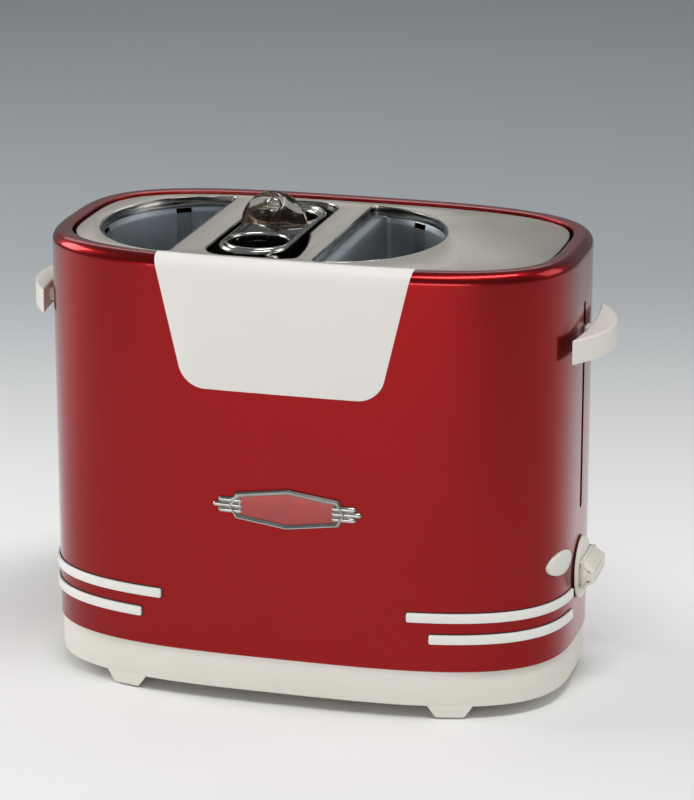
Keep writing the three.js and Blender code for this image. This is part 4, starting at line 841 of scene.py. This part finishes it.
class MakeTopPlate(bpy.types.Operator):
    """Top plate: satin sheet folded down at its edge and round its three openings"""
    bl_idname = "toaster.make_top_plate"
    bl_label = "Top plate"

    def execute(self, context):
        body = sizes(context, "body")
        fold, sheet, inset = body.plate_fold, body.plate_sheet, body.plate_inset
        skirt_low, flange_low, bay_low = low("top_plate", 2), liner_top + SEAT, bay_top + SEAT
        under = plate_top - sheet
        bm = bmesh.new()
        profile = [(inset + sheet, plate_top)]
        profile += [(inset + fold * (1 - s), plate_top - fold * (1 - c)) for s, c in reversed(quarter(4))]
        profile += [(inset, skirt_low), (inset + sheet, skirt_low), (inset + sheet, under)]
        skin(bm, [plan_ring(*point) for point in profile])
        edge = [(sheet, plate_top)]
        edge += [(fold * (1 - s), plate_top - fold * (1 - c)) for s, c in reversed(quarter(4))]
        openings = [
            (lambda grow, z, side=side: well_outline(context, side, grow, 0, z), flange_low) for side in (-1, 1)]
        openings.append((lambda grow, z: bay_outline(context, grow, z), bay_low))
        tools = []
        for outline, flange in openings:
            skin(bm, [outline(grow, z) for grow, z in edge + [(0, flange), (sheet, flange), (sheet, under)]])
            tools.append(skinned([outline(sheet, z) for z in (under - 0.002, plate_top + 0.002)], capped=True))
        flat = carved(skinned([plan_ring(inset + sheet, z) for z in (under, plate_top)], capped=True), tools)
        bmesh.ops.delete(flat, geom=[f for f in flat.faces if abs(f.normal.z) < 0.5], context="FACES")
        bm = merged(bm, flat)

        # the folds and flanges get the streaked steel, whose dark and bright colour is painted reflection and
        # highlight
        def on_fold(face):
            middle = face.calc_center_median()
            outer = min((middle.xy - plan_point(i / 180, 0)).length for i in range(180))
            return face.normal.z < 0.9 and outer > inset + 2 * sheet

        piece(context, "toaster_top_plate", tidy(bm), "satin_steel", "housing_body", "top_plate",
              second="polished_steel", chosen=on_fold)
        return {"FINISHED"}


class MakeWells(bpy.types.Operator):
    """Well liners and basket chamber: tubes of aluminised sheet with slots and heat windows; the chamber's sheet is
    painted near black, painted shade of the deep bay
    """
    bl_idname = "toaster.make_wells"
    bl_label = "Well liners and chamber"

    def execute(self, context):
        wells = sizes(context, "wells")
        wall, reach = 0.001, 0.0725  # the sheet, and how far the tongues' slots reach
        window = (0.046, 0.066, 0.186)  # heat window: half length, bottom and top
        slots = (low("bun_rack_left", 2) - 0.0925, high("bun_rack_left", 2) + 0.0025)
        for end, side in (("left", -1), ("right", 1)):
            ledge = wells.ledge
            rings = [
                (0, ledge, liner_low), (0, ledge, liner_top - 0.0038), (0.0001, ledge + 0.0001, liner_top - 0.0034),
                (0.0009, ledge + 0.0006, liner_top - 0.0010), (0.0011, ledge + 0.0007, liner_top - 0.0006),
                (0.0013, ledge + 0.0006, liner_top - 0.0002), (0.0015, ledge + 0.0004, liner_top),
                (0.0022, 0, liner_top), (0.0022, 0, liner_top - wall),
                (0.0022, ledge + 0.0006, liner_top - wall), (0.0019, ledge + 0.0006, liner_top - 0.0016),
                (wall, ledge, liner_top - 0.0042), (wall, ledge, liner_low)]
            bm = skinned([well_outline(context, side, *ring) for ring in rings], closed=True)
            flat = wells.bay_x + side * (wells.offset + ledge)
            rack = wells.bay_x + side * (wells.offset + 0.014)
            tools = [
                block((flat - 0.002, -window[0], window[1]), (flat + 0.002, window[0], window[2])),
                block((rack - 0.004, -reach, slots[0]), (rack + 0.004, reach, slots[1]))]
            for share in (-0.33, -0.01, 0.325):
                angle = share * math.pi
                hook = block((-0.0045, -0.0045, -0.0014), (0.0045, 0.0045, 0.0014))
                turn = Matrix.Rotation(angle if side > 0 else math.pi - angle, 4, "Z")
                place = Matrix.Translation((
                    wells.bay_x + side * (wells.offset + wells.reach * math.cos(angle)),
                    wells.half * math.sin(angle), liner_top - 0.0026))
                bmesh.ops.transform(hook, matrix=place @ turn, verts=hook.verts)
                tools.append(hook)
            piece(context, f"well_liner_sheet_{end}", carved(bm, tools), "aluminised_steel",
                  "housing_body", f"well_liner_{end}")
        rings = [(0, liner_low), (0, bay_top), (wall, bay_top), (wall, liner_low)]
        bm = skinned([bay_outline(context, *ring) for ring in rings], closed=True)
        x = wells.bay_x
        bm = carved(bm, [
            block((x - 0.035, -window[0], window[1]), (x + 0.035, window[0], window[2])),
            block((x - 0.004, -reach, slots[0]), (x + 0.004, reach, slots[1]))])
        # the chamber's near black sheet is painted shade of the deep bay, not the sheet's own colour
        piece(context, "basket_chamber_sheet", bm, "blackened_steel", "housing_body", "basket_chamber",
              slot="aluminised_steel")
        return {"FINISHED"}


class MakeBasket(bpy.types.Operator):
    """Sausage basket: rolled rim, plate with two collared holes, wire cages, tab and rivet"""
    bl_idname = "toaster.make_basket"
    bl_label = "Sausage basket"

    def execute(self, context):
        basket = sizes(context, "basket")
        x = sizes(context, "wells").bay_x
        rim_high = low("basket_tab", 2) - 0.0003
        tube_z, tube_tall = rim_high - 0.002, 0.002
        plate_high, plate_low = rim_high - 0.0024, rim_high - 0.0032

        def outline(shrink, height):
            return round_outline((x, 0), basket.half_width - shrink, basket.half_length - shrink,
                                 basket.corner - shrink, height)

        half, wide, tall = basket.rim_width / 2, 0.0013, 0.0016
        rim = skinned([outline(half - half * c, tube_z + tube_tall * s) for c, s in full_turn(16)], closed=True)
        collars, plate = [], bmesh.new()
        loops = [skin(plate, [outline(half, z) for z in (plate_high, plate_low)])]
        for y in (-basket.hole_side, basket.hole_side):
            rings = []
            for c, s in full_turn(16):
                drop = 0.0022 if s < -0.1 and c < 0 else 0.0
                rings.append(circle((x, y), basket.hole + wide + wide * c, rim_high - 0.002 + tall * s - drop))
            collars.append(skinned(rings, closed=True))
            loops.append(skin(plate, [circle((x, y), basket.hole + wide, z) for z in (plate_high, plate_low)]))
        for face in (0, 1):
            edges = [e for loop in loops for e in loop[face]]
            bmesh.ops.triangle_fill(plate, edges=edges, use_beauty=True, use_dissolve=False)
        tab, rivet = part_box("basket_tab"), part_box("basket_rivet")
        rivet_z = (rivet[0].z + rivet[1].z) / 2
        ear = facing_front(flat_plate(
            [(x - 0.0028, plate_low), (x + 0.0028, plate_low), (x + 0.0028, rivet_z + 0.0028),
             (x - 0.0028, rivet_z + 0.0028)], [0, 0, 0.0026, 0.0026], 0.001, 0.0002), (0, tab[1].y + 0.0013, 0))
        nub_x, nub_z = x + 0.0145, tube_z - 0.0022
        nub = rod(1, (nub_x, 0.0012 - basket.half_length, nub_z), (nub_x, 0.0045 - basket.half_length, nub_z),
                  0.0017, 24, ease=0.0006)
        for vert in nub.verts:
            vert.co.x += (vert.co.x - nub_x) * 1.1
        piece(context, "basket_rim_and_collars", merged(rim, *collars, ear, nub), "chrome_plate",
              "basket_body", "basket_rim")
        # the top sheet's dark colour is painted shade and reflection of the bay round the basket
        piece(context, "basket_top_sheet", tidy(plate), "mirror_steel", "basket_body", slot="chrome_plate")

        for face in ("front", "rear"):
            start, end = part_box(f"basket_cage_{face}")
            middle = (start + end) / 2
            radius, wires = 0.017, []
            for i in range(6):
                angle = math.pi * (i + 0.5) / 3
                px, py = middle.x + radius * math.cos(angle), middle.y + radius * math.sin(angle)
                wires.append(rod(2, (px, py, start.z + 0.0006), (px, py, end.z), 0.001, 16))
            floor = skinned([circle(middle, r, start.z + z) for r, z in (
                (0.018, 0.0003), (0.018, 0.0012), (0.0177, 0.0015), (0.0073, 0.0015),
                (0.007, 0.0012), (0.007, 0.0003), (0.0073, 0), (0.0177, 0))], closed=True)
            piece(context, f"basket_cage_wires_{face}", merged(floor, *wires), "chrome_plate",
                  "basket_body", f"basket_cage_{face}")

        points = [(x + basket.tab_half * math.cos(math.pi * i / 48),
                   tab[0].z + basket.tab_height * math.sin(math.pi * i / 48)) for i in range(49)]
        disc = flat_plate(points, [0] * 49, basket.tab_thickness)
        ease_edges(disc, 0.00035, angle=40, segments=2)
        facing_front(disc, (0, tab[1].y, 0))
        hole = rod(1, (x, tab[0].y - 0.002, rivet_z), (x, tab[1].y + 0.002, rivet_z), 0.0019, 24)
        piece(context, "basket_lifting_tab", carved(disc, [hole]), "smoked_plastic", "basket_body",
              "basket_tab", sharp=25)

        front, back = rivet[0].y, rivet[1].y
        profile = [(0, front + 0.0003), (0.003, front + 0.0003), (0.0032, front + 0.0001), (0.0035, front),
                   (0.0038, front + 0.0002), (0.004, front + 0.0006), (0.004, front + 0.0012),
                   (0.0016, front + 0.0012), (0.0016, back - 0.0012), (0.0032, back - 0.0012),
                   (0.0032, back - 0.0004), (0.0028, back), (0, back)]
        bm = spun([(x + r, y, rivet_z) for r, y in profile], (x, 0, rivet_z), (0, 1, 0), 40)
        slot = block((x - 0.0029, front - 0.001, rivet_z - 0.0004),
                     (x + 0.0029, front + 0.0011, rivet_z + 0.0004))
        # the rivet's face and slot get the streaked steel, whose colour is painted reflection and highlight
        piece(context, "basket_slotted_rivet", carved(bm, [slot]), "polished_steel", "basket_body",
              "basket_rivet", slot="chrome_plate", second="chrome_plate",
              chosen=lambda f: (f.calc_center_median().xz - Vector((x, rivet_z))).length > 0.0031)
        return {"FINISHED"}


class MakeLabel(bpy.types.Operator):
    """Label plate: enamelled sheet from the top plate's edge over the shoulder and down the front"""
    bl_idname = "toaster.make_label"
    bl_label = "Label plate"

    def execute(self, context):
        trim, body = sizes(context, "trim"), sizes(context, "body")
        start, arc = rim_top - body.shoulder, body.shoulder * math.pi / 2
        lean = (trim.label_half_high - trim.label_half_low) / (plate_top - trim.label_low)
        far = body.rim_inner - 0.0022
        rows = [
            (trim.label_half_low, trim.label_low, 0.0),
            (trim.label_half_low + lean * (start - trim.label_low), start, 0.0),
            (trim.label_half_high, start + arc * 0.5, body.shoulder * 0.3),
            (trim.label_half_high + 0.0003, start + arc, body.shoulder),
            (trim.label_half_high + 0.0003, start + arc + far - body.shoulder, far)]
        right = [(run_at(x, 0, inset), height) for x, height, inset in rows]
        left = [(-x, height) for x, height in reversed(right)]
        corner = trim.label_corner * 0.95
        bm = flat_plate(right + left, [corner, 0, 0, 0, 0.001, 0.001, 0, 0, 0, corner], 0.0004, 0.00015)
        Wall(body.shoulder).bend(raised(bm, 0.0001))
        piece(context, "label_plate_sheet", bm, "label_paint", "housing_body", "label_plate",
              slot="cream_plastic")
        return {"FINISHED"}


class MakeBadge(bpy.types.Operator):
    """Badge: ridged chrome frame with three bars at each end, and an enamelled field"""
    bl_idname = "toaster.make_badge"
    bl_label = "Badge"

    def execute(self, context):
        trim, body = sizes(context, "trim"), sizes(context, "body")
        wall = Wall(body.shoulder)

        def outline(shrink):
            slant = shrink * 0.9
            quarter_points = [(0.0324 - shrink, 0), (0.0286 - slant, 0.0074 - slant), (0, 0.0113 - shrink)]
            upper = quarter_points + [(-x, y) for x, y in reversed(quarter_points[:-1])]
            points = upper + [(x, -y) for x, y in reversed(upper[1:-1])]
            return [(trim.badge_x + x, trim.badge_z + y) for x, y in points]

        rings = [(0, 0), (0, 0.0007), (0.0001, 0.0009), (0.0008, 0.0019), (0.001, 0.002), (0.0013, 0.002),
                 (0.0015, 0.0019), (0.0025, 0.0009), (0.0027, 0.0008), (0.0027, 0)]
        shapes = [skinned([[Vector((*point, z)) for point in outline(shrink)] for shrink, z in rings],
                          closed=True)]
        for row, reach in ((-1, 0.038), (0, 0.041), (1, 0.038)):
            for end in (-1, 1):
                bar = bmesh.new()
                bmesh.ops.create_uvsphere(
                    bar, u_segments=20, v_segments=12, radius=0.0016,
                    matrix=Matrix.Rotation(math.pi / 2, 4, "Y"))
                near, far = 0.026, reach - 0.0022
                for vert in bar.verts:
                    out = vert.co.x * end
                    vert.co.x = end * ((far + out * 1.45) if out > 1e-6 else (near + out))
                    vert.co += Vector((trim.badge_x, trim.badge_z + row * 0.0029, 0.0001))
                if end < 0:
                    bmesh.ops.recalc_face_normals(bar, faces=bar.faces)
                shapes.append(bar)
        bm = raised(merged(*shapes), SEAT)
        wall.bend(bm, cut=0.004)
        piece(context, "badge_ridge_frame", bm, "chrome_plate", "housing_body", "badge_frame", sharp=20)
        field = raised(flat_plate(outline(0.0028), [0] * 8, 0.0008, 0.0002), SEAT)
        wall.bend(field, cut=0.004)
        piece(context, "badge_enamel_field", field, "badge_red", "housing_body", "badge_field")
        return {"FINISHED"}


class MakeStripes(bpy.types.Operator):
    """Stripes: four enamelled strips round the front's two corners, each on a slightly wider black strip that shows
    round it as a painted shadow line
    """
    bl_idname = "toaster.make_stripes"
    bl_label = "Stripes"

    def execute(self, context):
        trim, body = sizes(context, "trim"), sizes(context, "body")
        wall = Wall(body.shoulder)
        shadow_outlines = []
        for row in ("upper", "lower"):
            start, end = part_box(f"stripe_right_{row}")
            middle = (start.z + end.z) / 2
            near, far = run_at(start.x, 0), run_at(end.y, 1)
            for name, side in (("left", -1), ("right", 1)):
                corners = [
                    (near, middle - trim.stripe_half), (far, middle - trim.stripe_half),
                    (far, middle + trim.stripe_half), (near, middle + trim.stripe_half)]
                if side < 0:
                    corners = [(-x, y) for x, y in reversed(corners)]
                # a black strip 0.5 mm wider all round lies under each stripe: painted shadow, standing in for the
                # shadow in the groove round the stripe
                grown = [(x + math.copysign(0.0005, x - side * (near + far) / 2),
                          y + math.copysign(0.0005, y - middle)) for x, y in corners]
                shadow_outlines.append(flat_plate(grown, [0.0014] * 4, 0.00022))
                bm = raised(flat_plate(corners, [0.0011] * 4, trim.stripe_proud, 0.0004), SEAT)
                wall.bend(bm, cut=0.002)
                piece(context, f"stripe_strip_{name}_{row}", bm, "white_inlay", "housing_body",
                      f"stripe_{name}_{row}")
        bm = raised(merged(*shadow_outlines), 0.00005)
        wall.bend(bm, cut=0.002)
        piece(context, "stripe_seals", bm, "black_rubber", "housing_body")
        return {"FINISHED"}


class MakeHandles(bpy.types.Operator):
    """Lever handle and fixed grip: crescents with eased edges"""
    bl_idname = "toaster.make_handles"
    bl_label = "Handles"

    def execute(self, context):
        trim = sizes(context, "trim")
        inner, outer = half_width + 0.0045, high("lever_handle", 0)
        inner_bow, outer_bow = 0.0032, 0.0146
        for node, side, body in (("lever_handle", 1, "carriage_body"), ("left_handle", -1, "housing_body")):
            bottom, top = low(node, 2), high(node, 2)
            if node == "left_handle":
                top, bottom = 0.21115, 0.19765
            rings = []
            half, steps = trim.handle_half, 56
            for i in range(steps + 1):
                share = math.sin(math.pi * (i / steps - 0.5))
                y = half * share
                bend = share ** 2
                x_in, x_out = inner - inner_bow * bend, outer - outer_bow * bend
                tip = math.sqrt(max(0.0, 1 - max(0.0, (abs(y) - half + 0.0012) / 0.0012) ** 2))
                wide = max((x_out - x_in) / 2 * (0.35 + 0.65 * tip), 0.0002)
                tall = (top - bottom) / 2 - trim.handle_edge * 0.6 * (1 - tip)
                edge = min(trim.handle_edge, wide * 0.95)
                centre = (side * (x_in + x_out) / 2, (top + bottom) / 2)
                flat = round_outline(centre, wide, tall, edge, 0)
                rings.append([Vector((p.x, y, p.y)) for p in flat])
            bm = skinned(rings, capped=True)
            middle = (top + bottom) / 2
            if side > 0:
                boss = block((half_width + 0.0008, -0.0045, middle - 0.0048),
                             (inner + 0.004, 0.0045, middle + 0.0048), 0.0008)
                bm = merged(bm, boss)
            else:
                bm = merged(bm, *(
                    rod(0, (-inner - 0.003, y, middle), (-0.1268, y, middle), 0.0035) for y in SCREW_SIDES))
            piece(context, f"{node}_moulding", bm, "cream_plastic", body, node)
        return {"FINISHED"}


class MakeControls(bpy.types.Operator):
    """Browning knob with its tapered grip, and the oval stop button"""
    bl_idname = "toaster.make_controls"
    bl_label = "Knob and button"

    def execute(self, context):
        trim = sizes(context, "trim")
        start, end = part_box("control_knob")
        z = (start.z + end.z) / 2
        back = half_width + 0.0006
        face, top = back + trim.knob_disc, end.x
        radius = trim.knob_radius
        profile = [(0, back), (radius - 0.0006, back), (radius - 0.0001, back + 0.0002), (radius, back + 0.0006)]
        profile += [(radius * c, back + 0.0006 + (face - back - 0.0006) * s ** 0.8) for s, c in quarter(14)][1:]
        disc = spun([(depth, r, z) for r, depth in profile], (0, 0, z), (1, 0, 0), 96)
        outline = [(-0.009, face - 0.001), (0.009, face - 0.001), (0.0088, face + 0.0004), (0.0034, top),
                   (-0.0034, top), (-0.0088, face + 0.0004)]
        bar = flat_plate(outline, [0, 0, 0.0006, 0.0012, 0.0012, 0.0006], 0.036)
        turned(bar, (0, 0, 1), (1, 0, 0), (0, 1, 0), (0, -0.018, z))
        drum = rod(0, (back, 0, z), (top + 0.001, 0, z), radius - 0.0012, 96)
        grip = ease_edges(carved(bar, [drum], "INTERSECT"), 0.0026, angle=35, segments=6)
        hub = rod(0, (start.x, 0, z), (back + 0.001, 0, z), 0.005, 40)
        piece(context, "browning_knob", merged(disc, grip, hub), "cream_plastic", "knob_body", "control_knob")

        start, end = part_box("stop_button")
        middle = (start + end) / 2
        wall = Wall(sizes(context, "body").shoulder)
        run_y = run_at(middle.y, 1)

        def face_ring(shrink, out):
            half_y, half_z = BUTTON_HALF[0] * (1 - shrink), BUTTON_HALF[1] * (1 - shrink)
            return [wall.place((run_y + half_y * c, middle.z + half_z * s, out)) for c, s in full_turn()]

        rings = [oval_ring(middle, *at) for at in ((0.1315, 0.0015), (0.133, 0.0015), (0.133, 0))]
        rings += [face_ring(*at) for at in ((0, 0.0004), (0.01, 0.0008), (0.05, 0.0012), (0.12, 0.0014))]
        rings += [face_ring(s, 0.0014 + 0.0005 * (1 - (1 - s) ** 2)) for s in (0.3, 0.55, 0.8, 0.95)]
        stem = rod(0, (start.x, middle.y, middle.z), (0.1325, middle.y, middle.z), 0.003)
        piece(context, "stop_button_cap", merged(skinned(rings, capped=True), stem), "cream_plastic",
              "button_body", "stop_button", sharp=50)
        return {"FINISHED"}


class MakeRear(bpy.types.Operator):
    """Crumb tray's pull and the cord inlet bush, at the rear of the base"""
    bl_idname = "toaster.make_rear"
    bl_label = "Tray pull and cord inlet"

    def execute(self, context):
        body = sizes(context, "body")
        start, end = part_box("tray_pull")
        inset, wall = body.base_inset, body.base_wall
        rings = [(inset, start.z), (inset, end.z), (inset + wall, end.z), (inset + wall, start.z)]
        bm = skinned([plan_ring(*ring) for ring in rings], closed=True)
        strip = carved(bm, [block((start.x, 0.062, 0), (end.x, 0.1, 0.1))], "INTERSECT")
        x = sizes(context, "wells").bay_x
        lip_z = start.z + 0.003
        lip = block((x - 0.025, half_depth - inset - wall / 2, lip_z),
                    (x + 0.025, end.y, lip_z + 0.005), 0.0011)
        piece(context, "crumb_tray_pull", merged(strip, lip), "cream_plastic", "tray_body", "tray_pull")

        start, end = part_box("cord_gland")
        centre = (start + end) / 2
        outer, bore = 0.008, 0.0034
        run = run_at((start.x + end.x) / 2, 0)
        rear = Wall(body.shoulder, rear=True)
        profile = [
            (outer, -0.0007), (outer, 0.0008), (outer - 0.0003, 0.0011), (outer - 0.0008, 0.0013),
            (bore + 0.0008, 0.0013), (bore, 0.0005), (bore, -0.008), (0.0055, -0.008), (0.0055, -0.0007)]
        bm = skinned([[rear.place((run + r * c, centre.z + r * s, out)) for c, s in full_turn(48)]
                      for r, out in profile], closed=True)
        piece(context, "cord_inlet_bush", bm, "black_rubber", "housing_body", "cord_gland")
        return {"FINISHED"}


class FinishInside(bpy.types.Operator):
    """Gives each carried-over frame node the finish of its material slot"""
    bl_idname = "toaster.finish_inside"
    bl_label = "Inside finishes"

    def execute(self, context):
        slots = {part["node"]: part["material_slot"] for part in frame["record"]["subparts"]}
        for name, node in frame["nodes"].items():
            if node.hide_render:
                continue
            if name not in slots:
                raise RuntimeError(f"{name} has no material slot in the record")
            for place in node.material_slots:
                place.material = finish(context, slots[name])
        return {"FINISHED"}


class MakeStage(bpy.types.Operator):
    """Pale floor, soft lights and the camera at the photograph's viewing angle"""
    bl_idname = "toaster.make_stage"
    bl_label = "Stage"

    def execute(self, context):
        scene, colours = context.scene, sizes(context, "colours")
        bm = bmesh.new()
        bmesh.ops.create_grid(bm, x_segments=1, y_segments=1, size=9)
        mesh = bpy.data.meshes.new("studio_floor")
        bm.to_mesh(mesh)
        bm.free()
        floor = bpy.data.objects.new("studio_floor", mesh)
        scene.collection.objects.link(floor)
        # Seamless paper, matt: white round the toaster and greyer with distance; the grey with distance is painted
        # shade, standing in for the light falling off towards the back
        material, tree, surface, place = start_finish("seamless_paper", Roughness=0.9)
        surface.inputs["Specular IOR Level"].default_value = 0.1
        depth = add_node(tree, "ShaderNodeVectorMath", {0: place, 1: (-0.267, 0.964, 0)},
                         operation="DOT_PRODUCT")
        painted_shade_ramp = add_node(tree, "ShaderNodeMapRange", {
            "Value": depth.outputs["Value"], "From Min": 0.1, "From Max": 0.9}, interpolation_type="SMOOTHSTEP")
        tone = add_node(tree, "ShaderNodeMix", {
            0: painted_shade_ramp.outputs["Result"], 6: (*colours.floor_near, 1), 7: (*colours.floor_far_painted_shade, 1)}, data_type="RGBA")
        tree.links.new(tone.outputs[2], surface.inputs["Base Color"])
        mesh.materials.append(material)

        world = bpy.data.worlds.new("studio")
        world.use_nodes = True
        world.node_tree.nodes["Background"].inputs["Color"].default_value = (*linear("#b4babd"), 1)
        world.node_tree.nodes["Background"].inputs["Strength"].default_value = 0.4
        scene.world = world
        for name, at, target, size, power in (
                ("overhead", (0.36, -0.36, 1.6), (0, 0, 0.15), (1.1, 0.3), 13),
                ("front_card", (-0.2, -2.0, 0.17), (0, 0, 0.12), (2.2, 0.3), 12),
                ("left_panel", (-1.4, 0.0, 0.8), (0, 0, 0.12), (0.7, 0.8), 11),
                ("right_panel", (1.5, 0.5, 0.95), (0, 0, 0.12), (0.9, 1.0), 6),
                ("rear_panel", (-0.9, 1.7, 1.55), (0, 0, 0.24), (2.0, 0.5), 5)):
            lamp = bpy.data.lights.new(name, "AREA")
            lamp.shape, lamp.size, lamp.size_y, lamp.energy = "RECTANGLE", size[0], size[1], power
            holder = bpy.data.objects.new(name, lamp)
            holder.location = at
            holder.rotation_euler = (Vector(target) - Vector(at)).to_track_quat("-Z", "Y").to_euler()
            holder.visible_camera = False
            scene.collection.objects.link(holder)

        camera = bpy.data.cameras.new("camera")
        camera.lens, camera.sensor_width = 153.68, 36
        camera.clip_start, camera.clip_end = 0.05, 50
        holder = bpy.data.objects.new("camera", camera)
        holder.location = (0.4897, -1.7192, 0.7022)
        aim = Vector((0.01048, 0.01189, 0.14628)) - holder.location
        holder.rotation_euler = aim.to_track_quat("-Z", "Y").to_euler()
        scene.collection.objects.link(holder)
        scene.camera = holder
        scene.view_settings.view_transform = "Standard"
        return {"FINISHED"}


OPERATORS = (
    MakeStage, MakeShell, MakeBase, MakeTopPlate, MakeWells, MakeBasket, MakeLabel, MakeBadge,
    MakeStripes, MakeHandles, MakeControls, MakeRear, FinishInside)


class ToasterPanel(bpy.types.Panel):
    """Lists the toaster's pieces with their sizes and colours."""
    bl_idname = "VIEW3D_PT_toaster"
    bl_label = "Toaster"
    bl_space_type = "VIEW_3D"
    bl_region_type = "UI"
    bl_category = "Toaster"

    def draw(self, context):
        for operator in OPERATORS:
            self.layout.operator(operator.bl_idname)
        for key, group in GROUPS.items():
            box = self.layout.box()
            for name in group.__annotations__:
                box.prop(getattr(context.scene, key), name)


def register():
    for group in GROUPS.values():
        bpy.utils.register_class(group)
    for key, group in GROUPS.items():
        setattr(bpy.types.Scene, key, bpy.props.PointerProperty(type=group))
    for operator in OPERATORS:
        bpy.utils.register_class(operator)
    bpy.utils.register_class(ToasterPanel)


def unregister():
    bpy.utils.unregister_class(ToasterPanel)
    for operator in reversed(OPERATORS):
        bpy.utils.unregister_class(operator)
    for key, group in GROUPS.items():
        delattr(bpy.types.Scene, key)
        bpy.utils.unregister_class(group)


def main():
    register()
    for operator in OPERATORS:
        family, name = operator.bl_idname.split(".")
        getattr(getattr(bpy.ops, family), name)()


if __name__ == "__main__":
    main()
